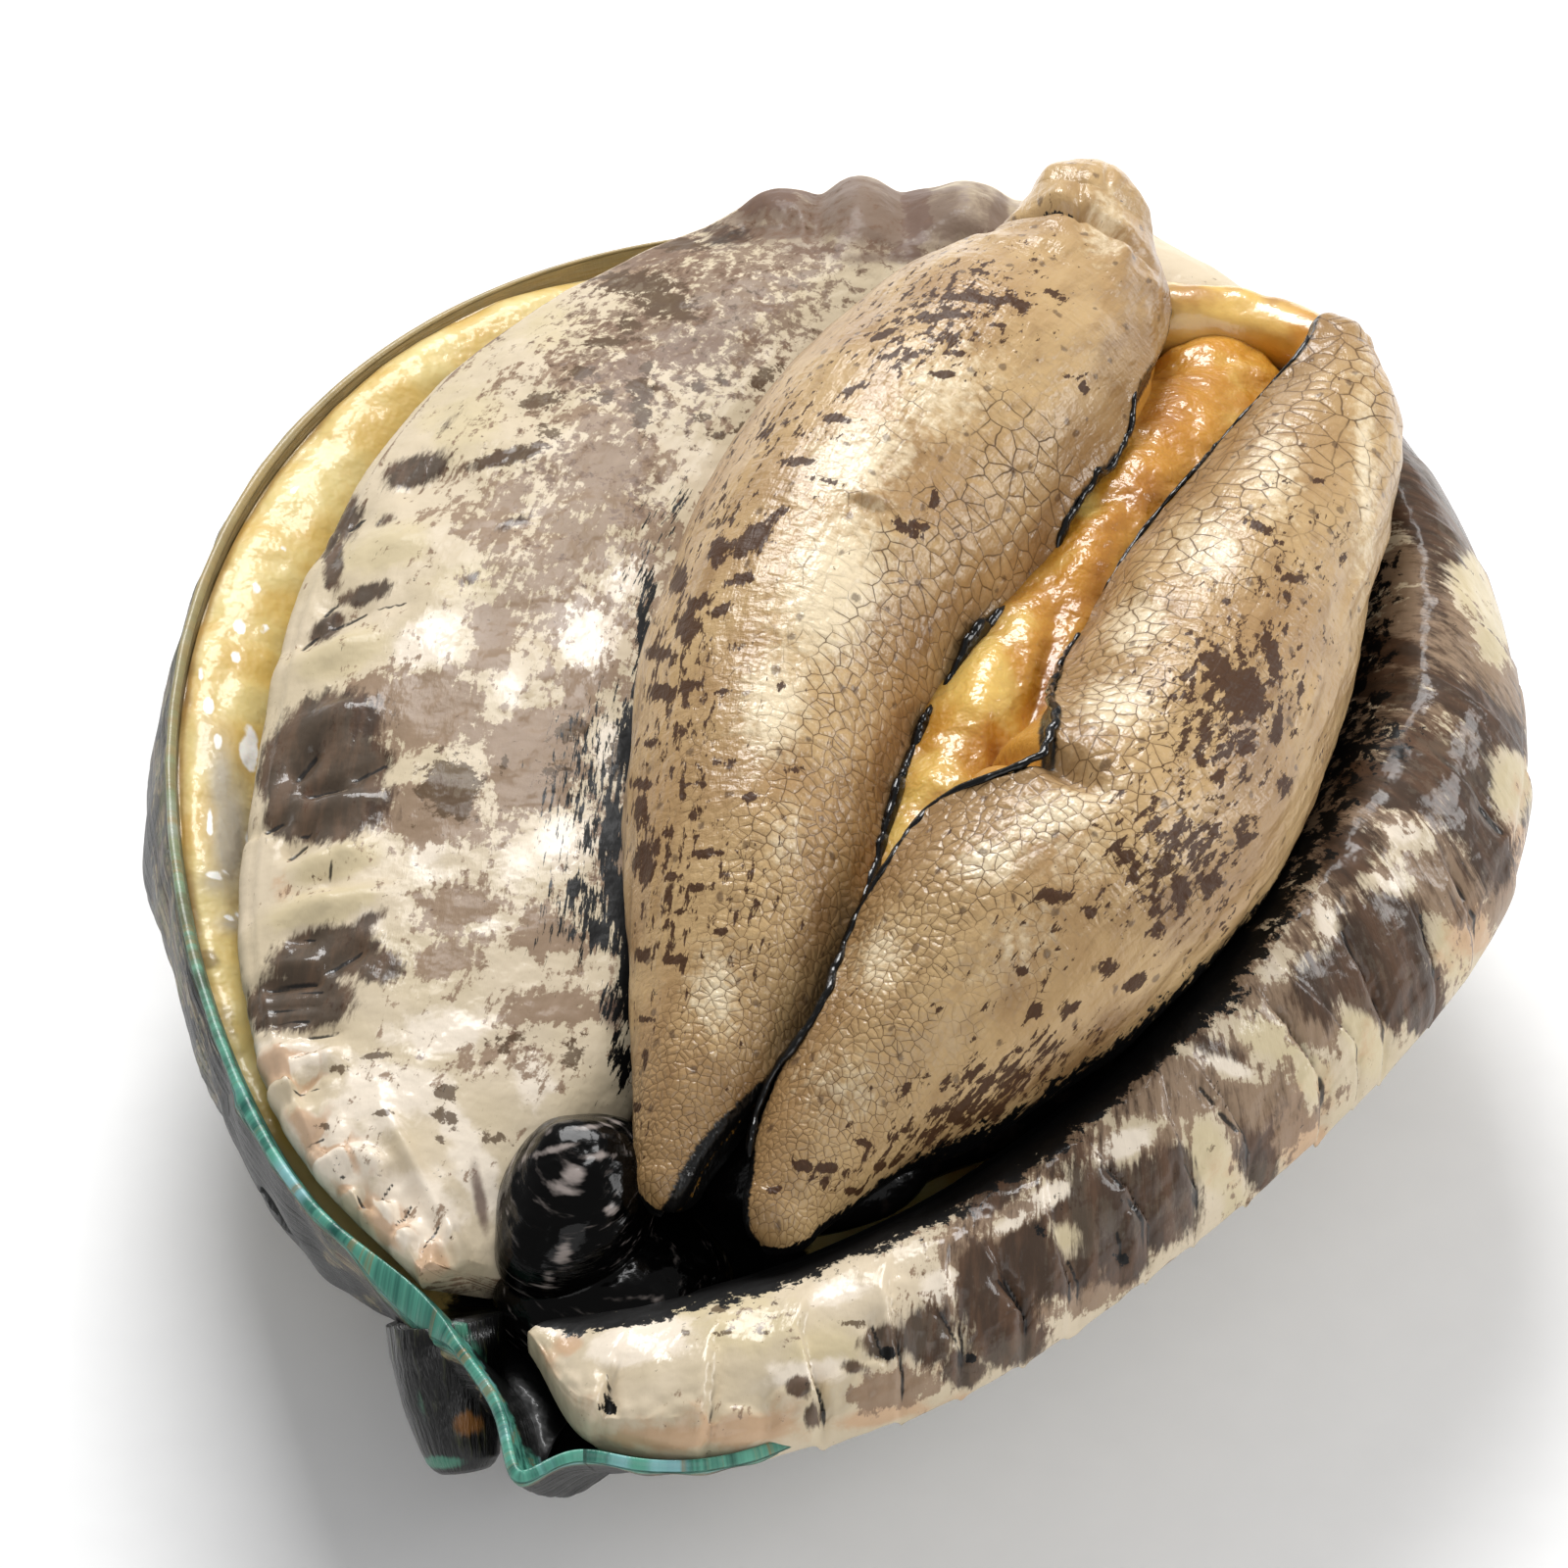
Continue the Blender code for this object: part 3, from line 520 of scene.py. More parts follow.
def buildShell():
    s = shellLook
    angle = rimAngles(s["around"])
    climbs = np.linspace(0, 1, s["rows"]) ** s["crowding"]
    outside = np.stack([bowl(angle, climb) for climb in climbs])
    climb = perRing(climbs, s["around"])
    turn = perSpoke(angle, s["rows"])
    normal = outwards(outside)
    # growth lines, spiral ribs and worn lumps of the outside
    wave = softNoise(outside, s["waveSize"], 3) * s["wave"]
    growth = np.sin(fullTurn * (climb * s["growthLines"] + wave)) * s["growthDepth"]
    growth *= 0.6 + 0.8 * softNoise(outside, 6.0, 5)
    spiral = np.sin(turn * s["spirals"] + s["spiralTwist"] * climb) * s["spiralDepth"] * ease(
        climb, 0.1, 0.4)
    lumps = softNoise(outside, s["lumpSize"], 7, 3) * s["lumpDepth"]
    fade = ease(climb, 0.0, 0.12) * (1 - 0.8 * ease(climb, 0.97, 1.0))
    outside = outside + normal * ((growth + spiral + lumps) * fade - s["sink"])[..., None]
    # the older pores swell out of the wall with a dent in the middle; the newest has its own horn
    for number in range(len(pores)):
        root, axis, radius, reach = poreAxis(number)
        away = outside - np.array(root)
        along = away @ np.array(axis)
        off = np.sqrt(np.maximum((away ** 2).sum(-1) - along ** 2, 0)) / radius
        if number:
            swell = reach * (1 - ease(off, 0.45, 1.35)) - s["bore"] * (1 - ease(off, 0.16, 0.36))
        else:
            swell = s["swellNewest"] * (1 - ease(off, 0.8, 1.6))
        near = np.abs(along) < s["poreDepth"]
        outside = outside + np.array(axis) * (swell * near)[..., None]
    thick = wallShape["thick"]
    inward = 1 - np.linspace(1, 0, s["inner"]) ** s["innerCrowding"]
    inside = np.stack([bowl(angle, 1 - c) for c in inward])
    thinning = s["rimThick"] + (thick - s["rimThick"]) * ease(inward, 0.0, 0.12)
    inside = inside - outwards(inside[::-1])[::-1] * thinning[:, None, None]
    # rounded edge between outside and inside
    edge, lip = outside[-1], inside[0]
    middle, half = (edge + lip) / 2, (edge - lip) / 2
    rounding = []
    for step in np.linspace(0, pi, s["edgeSteps"])[1:-1]:
        rise = np.zeros_like(edge)
        rise[:, 2] = sin(step) * s["rimThick"] * 0.4
        rounding.append(middle + half * cos(step) + rise)
    rings = np.concatenate([outside, np.stack(rounding), inside])
    # a flat strip for the bands of colour: along the rim, and up the outside and down the inside
    up, over, down, end = s["strip"]
    height = np.concatenate([climb * up, np.full((len(rounding), s["around"]), over),
                             perRing(np.linspace(down, end, s["inner"]), s["around"])])
    band = sheet(perSpoke(runLength(edge), len(rings)), height)
    seen = photoPlace(rings)
    degrees = np.degrees(angle) % 360
    green = np.where(degrees > 170, np.interp(seen[1], *s["leftGreen"]),
                     np.interp(degrees, *s["green"]))
    rest = len(rings) - s["rows"]
    teal = np.concatenate([ease(climb, 0.965, 0.99), np.ones((rest, s["around"]))]) * green
    lipped = np.concatenate([ease(climb, 0.975, 0.99), np.ones((rest, s["around"]))])
    outer = np.concatenate([1 - ease(climb, 0.95, 0.98), np.zeros((len(rounding), s["around"])),
                            perRing(ease(inward, 0.02, 0.08), s["around"])])
    front = np.maximum(*(closeness(turn, at, spread) for at, spread in s["sootAt"]))
    dark = np.concatenate([s["soot"] * front * ease(climb, 0.3, 0.7),
                           np.zeros((rest, s["around"]))])
    # painted shade in the pores, the neck and the slot, and dark patches
    dark = np.maximum(dark, strongest(seen, shadeAndBlackMarks)) * outer
    makePiece("shellDome", rings, shellFinish(), "shell", ["shell"], band=band, teal=teal,
              dark=dark, lip=lipped)


def wallPoint(angle, height):
    wall = np.array([bowl(angle, climb) for climb in np.linspace(0, 1, 80)])
    return Vector(wall[np.argmin(np.abs(wall[:, 2] - height))])


def poreAxis(number):
    turn, height, radius, reach, forward, down = pores[number]
    root = wallPoint(turn, height)
    out = Vector((root.x, root.y, 0)).normalized()
    ahead = Vector((-out.y, out.x, 0))
    return root, (out + ahead * forward - Vector((0, 0, down))).normalized(), radius, reach


poreLook = {"around": 120, "sunk": 0.9, "rootFlare": 1.02, "narrowing": 0.42, "steps": 22,
            "ridges": 0.02, "bends": 0.08, "black": tint(.02, .02, .02),
            "olive": tint(.24, .25, .15), "green": tint(.22, .44, .36),
            "orange": tint(.46, .30, .13)}
# orange and green parts of the newest pore's wall in photo pixels
hornMarks = {"orange": ((478, 1452, 16, 14, 0, .9), (470, 1380, 10, 40, -30, .4)),
             "green": ((450, 1492, 26, 7, 0, 1.0), (470, 1350, 8, 50, -30, .9),
                       (430, 1440, 6, 40, -10, .4))}


def buildChimney():
    # the newest pore, an open tube of horn
    s = poreLook
    around = s["around"]
    f = Finish("poreHorn", Roughness=0.3, Coat_Weight=0.25, Coat_Roughness=0.08,
               Specular_IOR_Level=0.3)
    streak = f.noise(f.swirl(f.place("band", (1, 0.16, 1)), 0.6, 0.5), 2.0, 4.0, 0.65)
    colour = f.mix(f.ramp(streak, 0.54, 0.76), s["black"], s["olive"])
    for name in ("green", "orange"):
        colour = f.paint(colour, s[name], name, streak, 1.0, 0.2)
    finish = f.done(colour, f.relief(streak, 0.2))
    root, axis, radius, reach = poreAxis(0)
    side = axis.cross(Vector((0, 0, 1))).normalized()
    up = side.cross(axis)
    angles = np.arange(around) * fullTurn / around
    circle = np.cos(angles)[:, None] * np.array(side) + np.sin(angles)[:, None] * np.array(up)
    # heights along the tube and shares of its radius: the outer wall, the lip and the bore
    profile = [(-s["sunk"] - 0.25 * radius, 1.0), (-0.3, s["rootFlare"]), (0.0, s["rootFlare"])]
    profile += [(reach * t, 1.0 - s["narrowing"] * t ** 1.6)
                for t in np.linspace(0.06, 0.9, s["steps"])]
    profile += [(reach * 0.96, 0.54), (reach * 0.99, 0.46), (reach * 0.96, 0.38),
                (reach * 0.8, 0.33), (reach * 0.2 - 0.5, 0.28)]
    rings = np.stack([np.array(root + axis * h) + circle * radius * r for h, r in profile])
    ridge = 1 + s["ridges"] * softNoise(rings, 1.1, 11) + s["bends"] * softNoise(rings, 3.0, 12)
    centre = rings.mean(1, keepdims=True)
    rings = centre + (rings - centre) * ridge[..., None]
    band = sheet(perSpoke(angles * radius, len(profile)),
                 perRing(np.array([h for h, r in profile]), around))
    seen = photoPlace(rings)
    makePiece("pore1", rings, finish, "shell", ["shell"], band=band,
              **{name: strongest(seen, marks) for name, marks in hornMarks.items()})


# the yellow lining; tops and widths of its wall's roll are given at the angles, and the roll's
# profile as distance inwards and share of its height
mantleLook = {"around": 560, "wallRows": 12, "rollRows": 60, "floor": 17.4, "inset": 1.0,
              "belowRim": 0.4,
              "angles": (0, 150, 165, 185, 215, 278, 290, 322, 332, 345, 353, 360),
              "tops": (16, 16, 17, 22, 24.4, 24.6, 22.8, 19.6, 19.2, 20.2, 16.4, 16),
              "widths": (.8, .8, .8, .8, .8, .35, .5, .6, .7, .8, .8, .8),
              "wideAt": radians(250), "wideSpread": radians(30), "wide": 0.65,
              "leftAt": radians(255), "leftSpread": radians(60), "lumpDepth": 0.3,
              "fineDepth": 0.08, "lineAt": 0.15, "lineWidth": 0.35, "sootAt": -8,
              "sootFrom": 34, "sootTo": 16,
              "profile": ((0, 1.0), (0.5, 1.04), (1.6, 1.06), (3.6, 0.98), (5.6, 0.75),
                          (8.5, 0.3), (12.0, 0.0)),
              "yellow": tint(.85, .77, .51), "deep": tint(.81, .68, .36),
              "grey": tint(.72, .68, .60), "shade": tint(.62, .54, .34),
              "glint": tint(.97, .96, .93), "line": tint(.55, .36, .15),
              "black": tint(.03, .03, .03)}
# painted sheen of wet pools, painted highlights (white glints) and the painted shade of the band inside
# the rim, in photo pixels
poolSheenMarks = ((234, 852, 20, 64, 0, 1.3), (226, 800, 15, 50, 0, 1.1), (222, 900, 20, 14, 0, .9),
             (236, 942, 16, 10, 0, 1.0), (210, 760, 10, 40, 0, .5))
glintMarks = ((262, 600, 7, 8, 0, 1.0), (245, 640, 7, 8, 0, 1.0), (270, 641, 7, 6, 0, .9),
              (240, 670, 7, 7, 0, 1.0), (213, 720, 6, 9, 0, 1.0), (222, 756, 5, 9, 0, .9),
              (255, 766, 11, 24, 0, 1.1), (214, 840, 4, 16, 0, 1.0), (222, 892, 14, 5, 0, .9),
              (258, 870, 11, 46, 0, .8), (300, 500, 8, 5, -40, .7), (236, 936, 12, 4, 0, 1.0),
              (330, 450, 10, 4, -40, .6), (205, 690, 4, 10, 0, .7), (290, 560, 6, 6, 0, .7))
bandMarks = ((185, 690, 12, 60, 0, .9), (175, 800, 10, 80, 0, .9), (210, 600, 14, 60, 25, .8),
             (300, 450, 20, 60, 45, .6), (196, 930, 10, 60, -10, .8), (212, 980, 12, 10, 0, 1.2),
             (235, 1050, 10, 40, -20, .6))


def mantleFinish():
    s = mantleLook
    f = Finish("mantleFlesh", Roughness=0.45, Coat_Weight=0.2, Coat_Roughness=0.06,
               Subsurface_Weight=0.25, Subsurface_Scale=0.002)
    spot = f.place("spot")
    colour = f.mix(f.ramp(f.noise(spot, 0.22, 3.0), 0.35, 0.65), s["yellow"], s["deep"])
    # grey painted as the sheen of the wet pools
    colour = f.mix(f.layer("wet"), colour, s["grey"])
    blur = f.noise(spot, 0.6, 3.0)
    colour = f.paint(colour, s["shade"], "shade", blur, 0.9, 0.3)
    colour = f.mix(f.times(f.layer("edge"), 0.6), colour, s["line"])
    # white painted highlights: the glints
    colour = f.paint(colour, s["glint"], "glint", blur, 0.9, 0.12)
    soot = f.ramp(f.sum(f.layer("soot"), f.times(f.noise(spot, 1.2, 4.0, 0.7), 0.5)), 0.6, 0.75)
    colour = f.mix(soot, colour, s["black"])
    bump = f.relief(f.noise(spot, 0.4, 3.0, 0.5), 0.35)
    return f.done(colour, f.relief(f.noise(spot, 1.4, 2.0), 0.02, bump))


def buildMantle():
    s = mantleLook
    angle = rimAngles(s["around"])
    top = rim(angle)[2]
    degrees = np.degrees(angle) % 360
    wallTop = np.minimum(np.interp(degrees, s["angles"], s["tops"]), top - s["belowRim"])
    width = (np.interp(degrees, s["angles"], s["widths"])
             + s["wide"] * closeness(angle, s["wideAt"], s["wideSpread"]))
    side = closeness(angle, wallShape["sideAt"], wallShape["sideSpread"])
    steep = wallShape["shallow"] + (wallShape["steep"] - wallShape["shallow"]) * side
    limit = 1 - (1 - (wallTop / top) ** (1 / steep)) ** (1 / (1 + side))
    outside = np.stack([bowl(angle, limit * share) for share in np.linspace(0, 1, s["wallRows"])])
    rings = pushed(outside, -s["inset"])
    edge = rings[-1]
    inward = edge[:, :2] / np.linalg.norm(edge[:, :2], axis=1)[:, None]
    distances, rises = smoothRows(s["profile"], s["rollRows"]).T
    upper = []
    for distance, rise in zip(distances[1:], rises[1:]):
        plan = edge[:, :2] - inward * (distance * width)[:, None]
        upper.append(np.column_stack([plan, s["floor"] + (edge[:, 2] - s["floor"]) * rise]))
    rings = np.concatenate([rings, np.stack(upper)])
    across = np.concatenate([np.zeros(s["wallRows"]), distances[1:]])
    across = perRing(across, s["around"]) * width[None]
    turn = perSpoke(angle, len(rings))
    left = closeness(turn, s["leftAt"], s["leftSpread"])
    lumps = (softNoise(rings, 3.2, 21, 2) * s["lumpDepth"]
             + softNoise(rings, 1.3, 23) * s["fineDepth"])
    rings[s["wallRows"]:, :, 2] += (lumps * left)[s["wallRows"]:]
    # painted sheen of wet pools, a line along its top, and black where the head lies
    seen = photoPlace(rings)
    wet = np.clip(strongest(seen, poolSheenMarks), 0, 1)
    line = np.exp(-((across - s["lineAt"]) / s["lineWidth"]) ** 2) * left
    degrees = (np.degrees(turn) % 360 + 180) % 360 - 180
    soot = ease(np.abs(degrees - s["sootAt"]), s["sootFrom"], s["sootTo"])
    makePiece("mantleLining", rings, mantleFinish(), "mantle", ["mantle"], spot=rings, wet=wet,
              edge=line, soot=soot, glint=strongest(seen, glintMarks),
              shade=strongest(seen, bandMarks))


# the mottled flap round the foot; pairs of rows say how a value changes along the way round,
# from the corner at the head, along the right side and the rear, and back down the left
skirtLook = {"sections": 960, "upper": 68, "under": 10, "tucked": 6, "rounding": 11,
             "tuckIn": 3.0, "tuckDown": 3.0, "floor": 18.4, "slope": 0.62, "fine": 2000,
             "crowding": 0.85, "brim": 0.95, "brimRound": 0.05, "brimPush": 0.35,
             "density": ((0.0, 0.08, 0.44, 0.62, 0.72, 1.0), (1.2, 1.5, 1.3, 1.2, 1.0, 1.1)),
             "right": ((0.0, 0.03, 0.08, 0.34, 0.44), (0.2, 0.6, 1.0, 0.8, 0.0)),
             "rear": ((0.42, 0.48, 0.62, 0.68), (0.0, 1.0, 1.0, 0.0)),
             "valley": ((0.0, 0.03, 0.08, 0.14, 0.2, 0.26, 0.33, 0.45),
                        (0.6, 0.30, 0.26, 0.40, 0.42, 0.34, 0.20, 0.12)),
             "grime": ((0, 0.2, 0.25, 0.42, 0.52), (1.0, 1.0, 0.62, 0.5, 0.0)),
             "combAlong": ((0.0, 0.40, 0.62, 1.0), (1.0, 1.0, 0.30, 0.30)),
             "combAcross": ((0.0, 0.40, 0.62, 1.0), (0.30, 0.30, 1.0, 1.0)),
             "pleatDepth": 1.35, "creaseDepth": 0.45, "lumpPitch": 7.5, "lumpDepth": 0.15,
             "foldLumps": 1.4, "curlPitch": 1.9, "curlDepth": 1.3, "knobPitch": 1.5,
             "knobDepth": 0.5, "softDepth": 0.30, "fineDepth": 0.10,
             "hiddenTaupe": 0.45, "hiddenDusk": 0.30, "leftTaupe": 0.24, "bandTaupe": 0.6,
             "bandDusk": 0.42, "wet": 0.10, "wetBand": 0.38, "wetMarks": 0.4,
             "cream": tint(.81, .75, .65), "ivory": tint(.78, .72, .61),
             "wax": tint(.79, .73, .59), "white": tint(.91, .86, .79),
             "taupe": tint(.46, .36, .27), "taupePale": tint(.58, .48, .39),
             "mauve": tint(.38, .29, .25), "fleck": tint(.44, .34, .27),
             "dusk": tint(.19, .12, .07), "duskPale": tint(.32, .22, .15),
             "brown": tint(.27, .18, .11), "olive": tint(.35, .27, .16),
             "peach": tint(.76, .61, .47), "black": tint(.02, .016, .014)}
# outermost x, y, z, inner edge x, y, z, arch and margin thickness
skirtRows = ((-2.6, -42.8, 24.2, -1.6, -40.8, 24.2, 0.3, 1.8),
             (2.6, -48.0, 24.0, 4.6, -37.4, 24.2, 1.8, 2.8),
             (10.8, -46.6, 23.9, 10.6, -33.0, 24.4, 2.6, 3.0),
             (20.6, -37.6, 22.8, 17.6, -25.4, 24.8, 3.6, 3.6),
             (28.8, -23.8, 21.6, 24.0, -13.4, 25.0, 4.6, 4.2),
             (37.2, -6.2, 21.0, 27.6, 0.6, 25.2, 4.8, 4.4),
             (40.9, 10.0, 20.8, 29.0, 13.0, 25.6, 4.8, 4.4),
             (36.6, 26.4, 21.4, 27.0, 27.0, 26.6, 4.4, 4.4),
             (26.2, 40.2, 23.8, 20.0, 35.0, 28.0, 3.2, 4.2),
             (9.0, 48.8, 27.6, 8.0, 39.6, 29.0, 2.6, 4.2),
             (-8.6, 48.0, 28.0, -0.6, 36.4, 30.2, 2.2, 4.2),
             (-20.6, 39.8, 26.8, -5.0, 27.4, 30.4, 2.6, 3.2),
             (-28.8, 27.0, 26.2, -8.0, 14.0, 30.4, 2.6, 2.8),
             (-31.4, 10.0, 25.8, -8.0, 1.0, 30.2, 2.4, 2.6),
             (-29.4, -6.0, 25.6, -6.0, -10.0, 30.0, 2.0, 2.4),
             (-25.8, -20.6, 25.2, -4.0, -21.0, 29.0, 1.4, 2.4),
             (-19.0, -32.6, 25.0, -4.6, -30.0, 27.0, 0.8, 2.2),
             (-9.2, -40.4, 24.6, -6.0, -38.0, 24.0, 0.2, 1.6))
# pleats of the right margin: share of the way round at the margin, at the crease's inner end,
# and how far in that end is
pleats = ((0.030, 0.028, 0.70), (0.053, 0.050, 0.75), (0.078, 0.072, 0.78),
          (0.096, 0.092, 0.75), (0.111, 0.108, 0.80), (0.129, 0.118, 0.70),
          (0.141, 0.137, 0.80), (0.167, 0.151, 0.62), (0.182, 0.177, 0.82),
          (0.200, 0.189, 0.70), (0.224, 0.214, 0.62), (0.238, 0.228, 0.75),
          (0.247, 0.243, 0.60), (0.268, 0.268, 0.72), (0.284, 0.286, 0.76),
          (0.311, 0.308, 0.74), (0.337, 0.333, 0.78), (0.365, 0.361, 0.80),
          (0.395, 0.392, 0.80), (0.425, 0.423, 0.80))
# fold lines of the flap: both ends in photo pixels, depth and half width in millimetres
foldLines = ((322, 765, 295, 795, 1.0, .35), (395, 775, 345, 797, .6, .40),
             (347, 797, 300, 808, .9, .35), (290, 833, 262, 848, .8, .35),
             (318, 845, 298, 851, .6, .30), (312, 855, 288, 876, .8, .35),
             (335, 899, 345, 868, .5, .45), (368, 966, 320, 995, .8, .40),
             (322, 995, 255, 1003, .9, .40), (320, 955, 290, 960, .4, .35),
             (330, 1008, 258, 1014, .4, .30), (322, 1022, 258, 1028, .4, .30),
             (316, 1037, 264, 1042, .4, .30), (345, 1046, 300, 1053, .6, .30),
             (372, 522, 350, 541, .6, .40), (455, 482, 400, 505, .6, .50),
             (325, 645, 300, 666, .6, .40), (375, 622, 325, 645, .5, .40),
             (415, 615, 375, 622, .3, .40), (345, 612, 325, 631, .5, .40),
             (345, 548, 338, 585, .5, .50), (300, 1080, 330, 1073, .4, .40),
             (325, 1110, 290, 1120, .4, .40), (372, 1226, 362, 1212, .7, .35),
             (330, 1160, 305, 1165, .5, .45), (352, 1196, 330, 1215, .5, .45),
             (400, 1205, 380, 1230, .4, .45), (420, 1225, 398, 1262, .4, .45),
             (448, 1250, 425, 1285, .5, .45),
             # the right band
             (1225, 1105, 1245, 1130, .7, .35), (1245, 1130, 1272, 1157, .9, .35),
             (1272, 1157, 1302, 1198, .9, .40), (1130, 1190, 1152, 1222, .7, .35),
             (1152, 1222, 1175, 1260, 1.0, .35), (1175, 1262, 1215, 1247, .6, .35),
             (1300, 1025, 1318, 1052, .6, .35), (1318, 1052, 1347, 1082, .8, .35),
             (1347, 1082, 1371, 1138, 1.0, .40), (1370, 940, 1400, 1000, .7, .35),
             (1400, 1000, 1420, 1050, .9, .35), (1420, 1050, 1432, 1078, .9, .40),
             (1450, 920, 1456, 962, .6, .35), (1456, 962, 1472, 1003, .8, .40),
             (1480, 880, 1502, 912, .6, .35), (1502, 912, 1532, 963, .8, .40),
             (1510, 820, 1542, 863, .8, .35), (1210, 1185, 1237, 1243, .8, .35),
             (1255, 1185, 1271, 1212, .7, .30), (1020, 1298, 1052, 1342, 1.2, .40),
             (1033, 1372, 1060, 1370, .6, .30), (1140, 1250, 1150, 1290, .8, .35),
             (960, 1335, 985, 1385, .6, .40), (890, 1350, 905, 1395, .6, .40),
             (1090, 1270, 1110, 1315, .6, .40), (835, 1400, 845, 1440, .6, .40),
             (780, 1420, 790, 1470, .5, .50), (620, 1400, 625, 1440, .5, .40),
             # the lumps of the frill at the rear
             (838, 195, 832, 250, .8, .70), (918, 175, 924, 250, .7, .80),
             (1040, 180, 1020, 250, .7, .80), (760, 226, 830, 226, .8, .60))
# soft raised spots: x, y, half width, half height in photo pixels, tilt, height in millimetres
rearLumps = ((778, 200, 56, 24, 8, .9), (872, 215, 34, 44, 0, .9), (985, 225, 36, 46, 0, .9))
flapLumps = ((335, 880, 38, 16, -20, .8), (330, 925, 48, 14, -15, .7), (340, 668, 45, 14, -25, .6),
             (395, 560, 50, 18, -25, .5), (345, 820, 40, 14, -10, .5), (340, 735, 40, 16, -25, .5),
             (300, 985, 30, 9, -5, .4), (285, 1075, 20, 12, 0, .6), (325, 1080, 20, 10, -20, .6),
             (290, 1112, 16, 12, 0, .6), (292, 1138, 18, 12, 20, .6), (315, 1185, 22, 14, 30, .8),
             (350, 1180, 14, 10, 0, .5), (380, 1190, 14, 12, 0, .6), (362, 1238, 18, 12, 40, .7),
             (392, 1243, 14, 12, 40, .6), (415, 1262, 14, 14, 45, .6), (440, 1275, 12, 18, 0, .6),
             (442, 1302, 10, 12, 0, .5), (415, 1180, 10, 42, -28, .5), (462, 1262, 9, 44, -28, .5))
# where the flap's margin is curled, in photo pixels
curlMarks = ((300, 1090, 46, 30, 30, 1.0), (330, 1170, 50, 34, 45, 1.0),
             (390, 1240, 54, 26, 45, 1.0), (440, 1290, 24, 34, 0, 1.0), (290, 1050, 26, 16, 0, .5))
